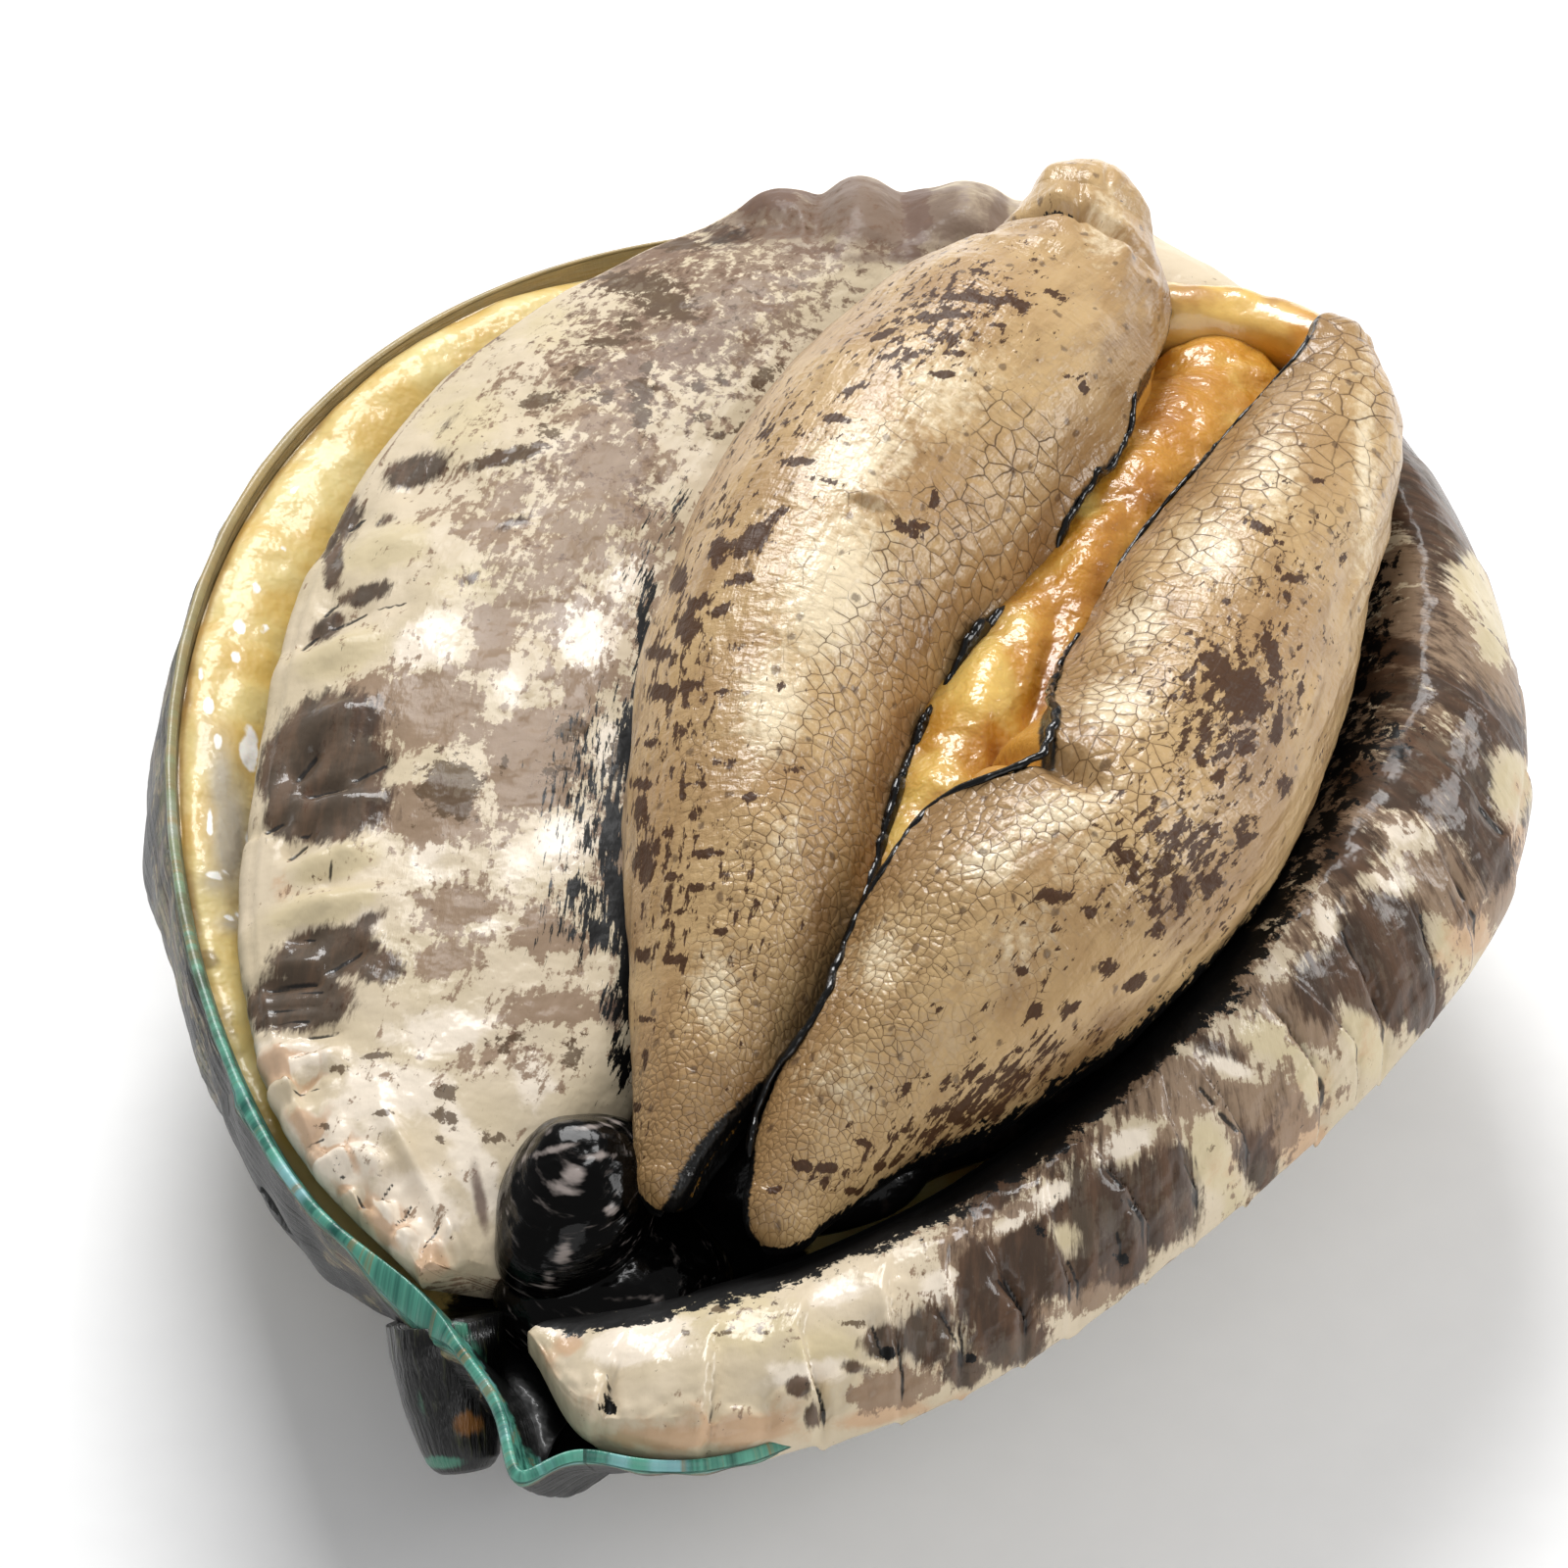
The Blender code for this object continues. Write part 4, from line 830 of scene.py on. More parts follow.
# painted marks of each tint: x, y, half width, half height in photo pixels, tilt and strength
flapPaint = {
    "wax": ((350, 670, 60, 25, -20, 1.1), (395, 560, 55, 25, -20, 1.1),
            (340, 880, 50, 20, -15, 1.2), (330, 925, 60, 18, -15, 1.3), (470, 430, 60, 50, -30, .8),
            (560, 330, 60, 40, -30, .6), (480, 590, 60, 30, 0, .7), (600, 545, 60, 40, 0, .6),
            (1235, 1180, 25, 50, -20, 1.1), (1262, 1230, 18, 25, 0, 1.0),
            (1300, 1060, 45, 25, 20, 1.0), (1340, 1100, 22, 30, -20, 1.1),
            (1392, 1062, 24, 45, -25, 1.1), (1482, 970, 20, 40, -20, .9),
            (1545, 800, 28, 36, 0, 1.1), (1440, 430, 22, 15, 0, .9), (1505, 600, 28, 50, -20, 1.0),
            (1525, 650, 22, 40, -10, 1.0), (1480, 765, 30, 20, 30, .5), (760, 1350, 70, 40, 0, .9),
            (840, 1375, 50, 30, -10, .9), (1090, 1262, 28, 24, -20, .8), (700, 1340, 50, 30, 0, .8),
            (1430, 590, 25, 50, 0, .5), (1410, 880, 30, 30, 0, .4), (850, 240, 14, 16, 0, 1.0)),
    # white: pale flesh, and painted highlights where the wet flesh gleams
    "white": ((440, 655, 45, 30, -20, 1.0), (600, 650, 38, 50, 0, 1.0), (620, 760, 18, 40, 0, .9),
              (580, 860, 42, 38, 0, .9), (530, 880, 30, 30, 0, .7), (520, 700, 20, 25, 0, .8),
              (440, 880, 30, 26, 0, .8), (500, 945, 26, 9, -10, .8), (450, 1055, 60, 26, -10, 1.0),
              (400, 1120, 70, 40, 0, 1.0), (640, 590, 40, 26, -30, .8), (300, 1080, 60, 26, 0, .9),
              (330, 1180, 60, 50, 30, 1.1), (420, 1240, 60, 50, 45, 1.1),
              (540, 1100, 30, 40, 0, .7), (480, 1180, 24, 90, -25, .9), (380, 940, 22, 20, 0, .7),
              (650, 1368, 62, 26, -10, 1.1), (565, 1352, 36, 12, 20, 1.1),
              (860, 1320, 50, 16, -15, .7), (1070, 1222, 36, 16, -30, .9),
              (1150, 1166, 40, 16, -30, 1.0), (1250, 1086, 40, 12, 22, .9),
              (960, 1310, 26, 18, -20, 1.0), (1040, 1243, 62, 12, -30, .8),
              (1430, 850, 25, 18, 20, .8), (1352, 940, 12, 32, -15, .9),
              (1420, 900, 25, 14, 20, .8), (820, 1400, 50, 16, 0, .8), (868, 190, 16, 18, 0, .6),
              (985, 200, 14, 20, 0, .6), (1300, 990, 20, 24, 0, .6)),
    "peach": ((1335, 1170, 25, 25, 0, 1.0), (1555, 880, 16, 34, 0, 1.0), (580, 1372, 22, 12, 0, .9),
              (760, 1462, 46, 14, -5, .9), (680, 1468, 60, 10, 0, .8), (1505, 950, 18, 32, -20, .8),
              (1290, 1235, 30, 12, -40, .9), (1240, 1275, 26, 10, -35, .9),
              (1420, 1120, 30, 12, -40, .8), (1000, 1425, 50, 10, -15, .6),
              (900, 1445, 50, 9, -10, .7), (275, 1090, 20, 10, 0, .6), (320, 1150, 24, 8, 30, .7),
              (345, 1210, 24, 8, 40, .8), (400, 1265, 28, 8, 45, .8), (445, 1315, 12, 16, 0, .7),
              (285, 900, 18, 30, 0, .5)),
    "taupe": ((430, 720, 58, 40, 0, 1.0), (440, 830, 50, 30, 0, .8), (540, 780, 42, 55, 0, 1.0),
              (480, 930, 60, 44, 0, .46), (560, 950, 60, 30, 0, .46), (450, 980, 50, 24, 0, .55),
              (560, 1030, 60, 26, 0, .55), (500, 650, 28, 42, 0, .8), (590, 700, 22, 34, 0, .9),
              (615, 475, 36, 25, 0, .9), (600, 600, 150, 180, 0, .40),
              (700, 350, 200, 120, -30, .50), (620, 470, 120, 60, -30, .42),
              (520, 860, 140, 150, 0, .24), (520, 1080, 80, 30, 0, .4), (640, 540, 60, 60, 0, .45),
              (500, 520, 60, 30, -20, .45), (590, 380, 50, 40, 0, .45), (380, 700, 30, 22, 0, .6),
              (630, 870, 40, 90, 0, .5), (585, 745, 30, 60, 0, .55), (660, 1428, 50, 16, 0, .4),
              (1292, 1140, 40, 30, 20, .8), (1330, 1040, 30, 25, 0, .9),
              (1470, 900, 30, 20, 30, 1.0), (1430, 580, 25, 18, 0, .9),
              (1200, 1120, 40, 30, 30, .6), (1530, 700, 30, 40, 0, .5), (1460, 640, 40, 50, 0, .6),
              (1280, 1240, 30, 30, 0, .6), (1130, 1310, 50, 20, -30, .7),
              (1000, 1270, 50, 26, -30, .6), (900, 1420, 50, 20, -10, .8),
              (1540, 940, 20, 50, 0, .6), (1480, 1060, 30, 50, 0, .7), (760, 1440, 60, 20, 0, .4),
              (1360, 820, 30, 60, 0, .5), (935, 205, 16, 44, 0, 1.1), (780, 190, 66, 30, 0, 1.0),
              (660, 262, 90, 36, -20, .8), (880, 256, 120, 12, 0, .6), (1010, 250, 24, 24, 0, .5)),
    # dusk: dark flesh, and painted shade in the hollows of the left flap's folds
    "dusk": ((338, 742, 54, 34, -15, 1.5), (335, 825, 62, 32, -12, 1.6), (300, 790, 34, 52, 0, 1.6),
             (362, 778, 36, 28, 0, 1.3), (330, 975, 56, 28, -15, 1.5), (305, 1022, 54, 30, -5, 1.5),
             (385, 985, 36, 22, 0, 1.0), (378, 938, 30, 10, -30, .8), (425, 480, 40, 18, -22, 1.1),
             (352, 530, 18, 30, 20, 1.0), (374, 606, 34, 12, -18, 1.0),
             (335, 640, 24, 12, -35, 1.1), (340, 572, 12, 34, 0, 1.1), (512, 468, 46, 9, -15, .9),
             (527, 532, 30, 8, -22, .7), (480, 590, 12, 16, 45, .6), (460, 430, 26, 10, -35, .5),
             (395, 530, 22, 8, -30, .6), (740, 240, 40, 16, 0, .8), (1120, 1240, 46, 46, 0, 1.2),
             (1182, 1228, 36, 38, 0, 1.2), (1285, 1190, 18, 26, -20, 1.0),
             (1010, 1312, 30, 46, -15, 1.2), (1052, 1282, 36, 32, 0, 1.1),
             (1030, 1370, 34, 24, 0, 1.1), (902, 1370, 24, 16, 0, 1.2), (945, 1362, 24, 24, 0, 1.2),
             (815, 1415, 14, 12, 0, 1.2), (830, 1445, 12, 16, 0, 1.0), (985, 1400, 20, 15, 0, 1.1),
             (1390, 1000, 26, 50, -20, 1.2), (1420, 960, 28, 42, -20, 1.2),
             (1452, 1022, 22, 40, -20, 1.1), (1480, 782, 50, 26, 28, 1.2),
             (1420, 802, 40, 18, 10, 1.2), (1522, 870, 18, 28, -20, .9), (1500, 832, 24, 22, 0, .9),
             (1430, 488, 36, 34, 20, 1.2), (1462, 525, 26, 30, 0, 1.1), (1490, 562, 14, 26, 0, .9),
             (1420, 662, 32, 10, 15, 1.0), (1420, 702, 36, 14, 15, 1.0), (1390, 690, 16, 10, 0, .9),
             (1480, 560, 26, 60, 0, .5), (1515, 732, 58, 14, 38, 1.1), (1402, 450, 20, 40, 0, .8),
             (1012, 1222, 26, 12, -30, .9), (1150, 1292, 22, 16, -30, 1.1),
             (1240, 1075, 30, 10, 30, .8), (1090, 1300, 26, 14, -30, .9),
             (1345, 1010, 20, 30, -20, .7), (1560, 830, 10, 30, 0, .5), (870, 1395, 14, 8, 0, .9),
             (1380, 870, 26, 26, 0, .7), (1210, 1185, 20, 16, 0, .9), (1320, 1210, 16, 16, 0, .7)),
    # mauve: the frill's mauve flesh, with painted shade in the crevices between and under its lumps
    "mauve": ((880, 215, 230, 60, 0, .85), (775, 190, 58, 22, 5, 1.1), (932, 212, 16, 46, 0, 1.1),
              (1020, 228, 16, 42, 0, 1.0), (838, 215, 9, 40, 0, .9), (800, 236, 60, 11, 0, 1.1),
              (720, 215, 30, 14, -20, .8), (900, 262, 90, 12, 0, .7), (625, 1030, 16, 26, 0, .8),
              (490, 1225, 8, 50, -10, .8)),
    "fleck": ((720, 320, 220, 110, -30, .72), (670, 262, 90, 36, -20, .72),
              (790, 268, 120, 34, -10, .62), (560, 470, 70, 60, 0, .42), (560, 560, 70, 50, 0, .24),
              (610, 850, 40, 90, 0, .36), (540, 1060, 70, 24, 0, .40), (770, 1350, 70, 30, 0, .34),
              (650, 500, 60, 60, -20, .45), (480, 930, 60, 50, 0, .2), (420, 1080, 60, 40, 0, .28)),
    "brown": ((461, 805, 31, 35, 0, 1.2), (650, 290, 52, 16, 6, 1.0), (682, 312, 36, 18, 10, 1.0),
              (560, 290, 30, 12, -20, .8), (640, 330, 12, 12, 0, .8), (615, 350, 26, 6, 0, .9),
              (655, 395, 20, 13, 0, .9), (655, 422, 12, 24, 0, .9), (550, 410, 26, 12, -10, 1.0),
              (520, 465, 40, 10, -15, 1.0), (560, 440, 20, 8, 0, .9), (700, 250, 32, 9, 0, .9),
              (590, 380, 20, 8, 0, .9), (612, 405, 18, 8, 0, .9), (662, 375, 12, 12, 0, .8),
              (710, 395, 10, 8, 0, .8), (735, 385, 8, 8, 0, .8), (780, 385, 22, 13, -20, .9),
              (720, 425, 15, 6, 0, .8), (735, 445, 9, 6, 0, .8), (760, 435, 10, 8, 0, 1.0),
              (515, 775, 6, 10, 0, .9), (582, 745, 20, 10, -30, 1.0), (566, 785, 16, 14, 0, .8),
              (630, 775, 12, 30, 10, 1.0), (455, 1115, 14, 9, 0, 1.1), (448, 1140, 8, 7, 0, 1.0),
              (462, 1142, 8, 10, 0, 1.0), (450, 1162, 8, 6, 0, .9), (520, 1060, 26, 4, 0, .8),
              (515, 1071, 7, 7, 0, 1.0), (500, 1085, 9, 4, 0, .8), (585, 1080, 12, 20, 20, .8),
              (500, 1160, 14, 8, 0, .8), (380, 1078, 26, 4, -5, 1.0), (345, 1090, 22, 4, 0, .9),
              (330, 1150, 12, 5, 0, .8), (390, 1135, 15, 4, 0, .9), (385, 1155, 5, 3, 0, .8),
              (735, 1335, 13, 5, -10, 1.0), (740, 1360, 13, 4, 0, 1.0), (700, 1360, 7, 5, 0, .9),
              (790, 1330, 5, 3, 0, .9), (780, 1360, 8, 3, 0, .9), (870, 1350, 12, 5, 0, 1.0),
              (720, 320, 210, 110, -30, .2)),
    "hair": ((600, 790, 56, 110, 10, .5), (600, 930, 60, 60, 30, .55), (655, 560, 26, 80, 15, .35),
             (658, 690, 9, 60, 0, 1.0), (641, 760, 14, 60, 5, 1.0), (624, 850, 16, 70, 5, 1.0),
             (632, 925, 16, 46, -15, 1.1), (588, 905, 16, 20, 45, .8), (612, 952, 32, 18, 35, .9),
             (642, 985, 9, 70, 0, 1.2), (626, 1025, 18, 26, 0, .8), (634, 1082, 12, 36, 0, .9),
             (662, 600, 9, 30, 0, .8), (600, 850, 14, 34, 10, .6), (655, 640, 8, 44, 0, .9),
             (690, 520, 9, 50, 25, .55)),
    "soot": ((1372, 770, 26, 40, 0, .7), (1420, 752, 34, 24, 0, .6), (1240, 1010, 46, 34, -40, .7),
             (1130, 1110, 60, 24, -32, .6), (1000, 1185, 70, 22, -25, .7),
             (890, 1265, 60, 16, -10, .8), (1330, 880, 26, 50, 15, .7), (1410, 640, 14, 60, 0, .5),
             (1402, 470, 14, 60, 0, .5), (622, 1437, 8, 8, 0, 1.3), (905, 1381, 8, 7, 0, 1.3),
             (990, 1386, 7, 6, 0, 1.3), (1146, 1285, 8, 7, 0, 1.3), (1060, 1250, 30, 20, -30, .4))}


def skirtFinish():
    s = skirtLook
    f = Finish("skirtFlesh", Roughness=0.6, Coat_Roughness=0.10, Specular_IOR_Level=0.2)
    spot = f.place()
    comb = f.place("comb")
    fine = f.noise(f.swirl(comb, 1.2, 0.6), 1.9, 4.0, 0.7)
    cloud = f.noise(f.swirl(spot, 0.45, 2.0), 0.42, 5.0, 0.62)
    speck = f.noise(f.swirl(spot, 1.0, 0.7), 1.25, 5.0, 0.7)
    patch = f.sum(f.times(cloud, 0.40), f.times(fine, 0.32), f.times(speck, 0.28))
    broad = f.noise(spot, 0.15, 3.0)
    colour = f.mix(f.ramp(broad, 0.4, 0.6), s["cream"], s["ivory"])
    # mottling with feathery ends, darker flesh with painted shade in the folds and brown dashes,
    # then black strokes beside the lobe and black grains in the valley
    taupe = f.mix(f.noise(comb, 0.9, 3.0), s["taupe"], s["taupePale"])
    dusk = f.mix(f.ramp(f.noise(comb, 0.8, 4.0, 0.6), 0.4, 0.65), s["dusk"], s["duskPale"])
    brown = f.mix(f.noise(spot, 0.8, 2.0), s["brown"], s["olive"])
    feather = f.sum(f.times(patch, 0.5), f.times(fine, 0.5))
    strand = f.noise(f.place("comb", (0.8, 2.6, 1)), 1.5, 4.0, 0.7)
    grain = f.noise(f.swirl(spot, 0.9, 1.0), 0.85, 5.0, 0.74)
    # each layer's tint, the grain and its gain at the edge, the edge's softness and the cover
    for name, over, rag, gain, soft, share in (
            # white is pale flesh with painted highlights
            ("wax", s["wax"], cloud, 1.2, 0.25, 0.85), ("white", s["white"], cloud, 1.6, 0.2, 0.9),
            ("peach", s["peach"], cloud, 1.4, 0.22, 0.75), ("taupe", taupe, patch, 3.0, 0.07, 0.88),
            # mauve is the frill's flesh with painted shade between its lumps
            ("mauve", s["mauve"], cloud, 0.8, 0.25, 0.85),
            # dusk is dark flesh with painted shade in the folds
            ("fleck", s["fleck"], speck, 2.4, 0.12, 0.8), ("dusk", dusk, feather, 1.7, 0.18, 0.92),
            ("brown", brown, speck, 2.6, 0.10, 0.85), ("hair", s["black"], strand, 2.4, 0.06, 1.0),
            ("soot", s["black"], grain, 2.4, 0.06, 1.0)):
        colour = f.paint(colour, over, name, rag, gain, soft, share)
    # painted shade: black along the creases of the pleats and folds
    line = f.ramp(f.sum(f.layer("crease"), f.times(fine, 0.3)), 0.70, 1.0)
    colour = f.mix(f.times(line, 0.9), colour, s["black"])
    bump = f.relief(f.times(fine, 0.8), 0.04)
    bump = f.relief(f.noise(spot, 0.55, 2.5, 0.5), 0.22, bump)
    f.feed(f.surface.inputs["Coat Weight"], f.layer("wet"))
    return f.done(colour, bump)


def skirtSections():
    # cross-sections of the flap, closer together where its pleats are
    s = skirtLook
    rows = smoothRows(skirtRows, s["fine"])
    length = runLength(rows[:, :2])
    even = np.linspace(0, 1, s["fine"])
    crowd = np.cumsum(np.interp(even, *s["density"]))
    share = np.interp(np.linspace(crowd[0], crowd[-1], s["sections"]), crowd, even)
    place = share * length[-1]
    return share, place, np.stack([np.interp(place, length, rows[:, k]) for k in range(8)], 1)


def pleatRelief(share, out, margin):
    # shingled pleats: each one rises along the margin and drops at its crease
    lines = np.stack([end + (start - end) * np.clip((1 - out) / (1 - inner), 0, 1.6)
                      for end, start, inner in pleats])
    height, crease = np.zeros_like(share), np.zeros_like(share)
    for k, (end, start, inner) in enumerate(pleats):
        away = (share - lines[k]) * margin
        reach = ease(out, inner - 0.06, inner + 0.12)
        crease = np.maximum(crease, np.exp(-(away / 0.22) ** 2) * reach)
        last = lines[k - 1] if k else lines[0] - 0.022
        gap = np.maximum(lines[k] - last, 0.006)
        part = np.clip((share - last) / gap, 0, 1)
        on = (share > last) & (share <= lines[k])
        drop = ease(-away, 0.0, 0.45)
        rise = (part ** 1.4 - 0.45) * drop - (1 - drop) * 0.45
        rise = rise * np.clip(gap * margin / 5, 0.5, 1.3)  # wide pleats stand higher
        height = np.where(on, rise, height)
    return height, crease


def buildSkirt():
    s = skirtLook
    share, place, rows = skirtSections()
    outer, inner, arch, thick = rows[:, 0:3], rows[:, 3:6], rows[:, 6], rows[:, 7]
    span = outer[:, :2] - inner[:, :2]
    width = np.linalg.norm(span, axis=1)
    margin = place[-1]
    steps = np.linspace(0, 1, s["upper"]) ** s["crowding"] * s["brim"]
    u = perSpoke(steps, s["sections"])
    way = perRing(share, s["upper"])
    line = inner[:, None, :2] + span[:, None] * u[..., None]
    height = (inner[:, 2:3] + (outer[:, 2] + thick / 2 - inner[:, 2])[:, None] * u
              + arch[:, None] * 4 * u * (1 - u))
    flatPlace = np.concatenate([line, height[..., None]], -1)
    seen = photoPlace(flatPlace)
    # relief of the three stretches: pleats, lumps and folds
    right = np.interp(way, *s["right"])
    pleat, crease = pleatRelief(way, u, margin)
    relief = s["pleatDepth"] * pleat * right * ease(u, 0.35, 0.85)
    relief -= s["creaseDepth"] * crease * right
    lumpWave = np.sin(fullTurn * place / s["lumpPitch"] + 0.8 * np.sin(place / 9.0))[:, None]
    rear = np.interp(way, *s["rear"])
    relief += s["lumpDepth"] * lumpWave * rear * u ** 1.5
    relief += sum(ovals(seen, rearLumps)) * ease(u, 0.1, 0.5) * rear
    relief += s["foldLumps"] * sum(ovals(seen, flapLumps)) * ease(way, 0.66, 0.70)
    curlEdge = cellNoise(flatPlace, s["curlPitch"], 35)[1]
    curled = strongest(seen, curlMarks)
    relief += curled * s["curlDepth"] * (np.minimum(curlEdge, 0.45) - 0.2)
    depth, foldShade = creased(seen, foldLines)
    relief -= depth
    relief += (softNoise(flatPlace, 4.5, 31, 2) * s["softDepth"]
               + softNoise(flatPlace, 1.6, 33, 2) * s["fineDepth"]) * ease(u, 0.02, 0.15)
    knobEdge = cellNoise(flatPlace, s["knobPitch"], 37)[1]
    relief += ease(u, 0.80, 0.92) * (1 - ease(way, 0.24, 0.32)) * s["knobDepth"] * (
        np.minimum(knobEdge, 0.5) - 0.25)
    top = np.concatenate([line, (height + relief)[..., None]], -1)
    # tucked in under the lobes at the inner edge
    tuck = np.linspace(1, 0, s["tucked"], endpoint=False)
    inwards = (inner - outer)[:, None, :2] / width[:, None, None]
    tucked = np.repeat(top[:, :1], s["tucked"], 1)
    tucked[..., :2] += inwards * (s["tuckIn"] * tuck)[None, :, None]
    tucked[..., 2] -= (s["tuckDown"] * tuck ** 1.5)[None]
    # the margin rounds over from the upper side to the underside
    last = relief[:, -1]
    rounds = []
    for turn in np.linspace(radians(80), radians(-90), s["rounding"]):
        plan = inner[:, :2] + span * (s["brim"] + s["brimRound"] * cos(turn))
        push = span * (s["brimPush"] * last / width * cos(turn))[:, None]
        lift = outer[:, 2] + thick / 2 * sin(turn) + last * (0.4 + 0.6 * max(sin(turn), 0))
        rounds.append(np.column_stack([plan + push, lift]))
    rounds = np.stack(rounds, 1)
    below = []
    for v in np.linspace(0.88, 0.05, s["under"]):
        level = outer[:, 2] - thick / 2 - s["slope"] * width * (0.94 - v)
        plan = inner[:, :2] + span * v
        below.append(np.column_stack([plan, np.maximum(level, s["floor"])]))
    below = np.stack(below, 1)
    rings = np.concatenate([tucked, top, rounds, below], 1)
    upperEnd = s["tucked"] + s["upper"]

    def spread(values, under=0.0):
        # a layer for all points, from its values on the upper side
        values = np.concatenate([np.repeat(values[:, :1], s["tucked"], 1), values], 1)
        tail = values[:, -1:] + (under - values[:, -1:]) * np.linspace(0, 1, rounds.shape[1])[None]
        return np.concatenate([values, tail, np.full((s["sections"], s["under"]), under)], 1)

    down = np.linalg.norm(np.diff(rings, axis=1, prepend=rings[:, :1]), axis=2).cumsum(1)
    out = np.concatenate([np.tile(steps, (s["sections"], 1)) * width[:, None],
                          down[:, upperEnd:] - down[:, upperEnd - 1:upperEnd]
                          + width[:, None] * steps[-1]], 1)
    out = np.concatenate([-tuck[None] * s["tuckIn"] * np.ones((s["sections"], 1)), out], 1)
    # a flat sheet for the strokes, which run across the right band and along the left flap
    run = np.cumsum(np.interp(share, *s["combAlong"]) * np.diff(place, prepend=0))
    comb = sheet(perRing(run, rings.shape[1]),
                 out * np.interp(share, *s["combAcross"])[:, None])
    # marks are painted where the camera sees them; the hidden sides get plain mottling
    allSeen = photoPlace(rings)
    facing = ease(outwards(rings) @ lookBack(), 0.0, 0.25)
    paint = {name: strongest(allSeen, marks) * facing for name, marks in flapPaint.items()}
    paint["taupe"] += s["hiddenTaupe"] * (1 - facing)
    paint["dusk"] += s["hiddenDusk"] * (1 - facing)
    # less mottling under the painted highlights
    paint["taupe"] = paint["taupe"] * (1 - 0.75 * np.clip(paint["white"], 0, 1))
    paint["peach"] += 0.5 * spread(ease(u, 0.8, 1.0) * (1 - ease(way, 0.40, 0.46)))
    paint["peach"] += 0.9 * spread(curled * (1 - ease(curlEdge, 0.08, 0.3)))
    leftSide = spread(ease(way, 0.66, 0.72) + 0 * u)
    band = spread((1 - ease(way, 0.44, 0.5)) * ease(way, 0.07, 0.12) + 0 * u)
    paint["taupe"] += s["leftTaupe"] * leftSide + s["bandTaupe"] * band
    paint["dusk"] += s["bandDusk"] * band
    soot = ease(np.interp(way, *s["valley"]) - u, -0.22, 0.10) * np.interp(way, *s["grime"])
    paint["soot"] = np.maximum(paint["soot"], spread(soot))
    # less dark where the band is pale or has painted highlights
    bright = np.clip(np.maximum(paint["wax"], paint["white"]), 0, 1) * band
    paint["dusk"] *= 1 - 0.8 * bright
    paint["taupe"] *= 1 - 0.7 * bright
    wetBand = spread((1 - ease(way, 0.44, 0.5)) * ease(u, 0.3, 0.55))
    wetLeft = leftSide * (s["wetMarks"] * np.clip(paint["dusk"], 0, 1)
                          + s["wetMarks"] * np.clip(paint["white"], 0, 1))
    paint["wet"] = s["wet"] + s["wetBand"] * wetBand + wetLeft
    paint["wet"] *= 1 - 0.8 * ease(np.maximum(paint["soot"], paint["hair"]), 0.2, 0.6)
    creaseShade = np.clip(np.maximum(crease * right, foldShade), 0, 1.2)
    makePiece("skirtFlap", rings, skirtFinish(), "skirt", ["skirt"], place=rings, comb=comb,
              crease=spread(creaseShade), **paint)


# the folded foot; pairs of rows say how a value changes with the millimetres along a lobe
footLook = {"along": 400, "around": 180, "softDepth": 0.30, "fineDepth": 0.14,
            "roll": 0.30, "undercut": 0.35, "netDepth": 0.04, "netStretch": 1.12,
            "netSizes": ((4, 14, 24, 38, 54), (0.46, 0.62, 0.85, 1.20, 1.45)),
            "blurs": (-1.4, -0.7, 0, 0.7, 1.4), "hiddenShade": 0.4,
            "tan": tint(.65, .52, .35), "cream": tint(.73, .61, .43),
            # ivory and the darker brown after it are painted highlight and painted shade
            "ivory": tint(.89, .82, .69), "flankShade": tint(.47, .34, .20),
            "ochre": tint(.54, .41, .25), "crack": tint(.17, .09, .04),
            "brown": tint(.24, .14, .08), "umber": tint(.42, .30, .19),
            "black": tint(.02, .018, .016), "flesh": tint(.76, .54, .20)}
leftLook = {"roll": (8, 62), "creaseAt": 70.5, "creaseBend": 1.6, "creaseDepth": 1.0, "creaseWidth": 0.55,
            "knob": 0.35, "wrinkles": 0.10, "marks": 0.42,
            "sootFrom": ((-3, 4, 12, 30, 42, 60), (150, 178, 186, 192, 205, 215))}
rightLook = {"roll": (1, 70), "pinchAt": 26.8, "pinchDepth": 1.3, "pinchWidth": 0.8,
             "wrinkles": 0.20, "marks": 0.35,
             "sootFrom": ((-3, 2, 12, 24, 34, 50, 75), (0, -8, -14, -16, -30, -44, -50))}
# x, y, z of the middle line and the radius there, front to rear
leftRows = ((2.6, -32.4, 27.4, 2.0), (2.6, -25.5, 29.4, 4.2), (2.1, -17.3, 31.3, 6.1),
            (0.8, -8.9, 32.6, 7.3), (0.0, 0.5, 33.3, 8.4), (1.6, 12.3, 33.5, 9.8),
            (4.9, 24.3, 33.8, 9.8), (7.4, 33.4, 35.0, 7.0), (7.8, 39.8, 37.0, 3.7))
rightRows = ((8.6, -32.6, 27.0, 2.4), (10.7, -26.3, 28.6, 4.7), (14.0, -20.4, 30.0, 6.6),
             (16.6, -14.8, 31.3, 8.15), (19.5, -8.3, 32.0, 8.5), (21.8, -1.6, 32.0, 8.2),
             (22.8, 5.4, 32.2, 7.8), (23.4, 14.0, 32.8, 6.9), (24.4, 22.6, 33.3, 5.4),
             (25.0, 29.0, 34.0, 4.0), (24.2, 34.4, 34.8, 2.4))
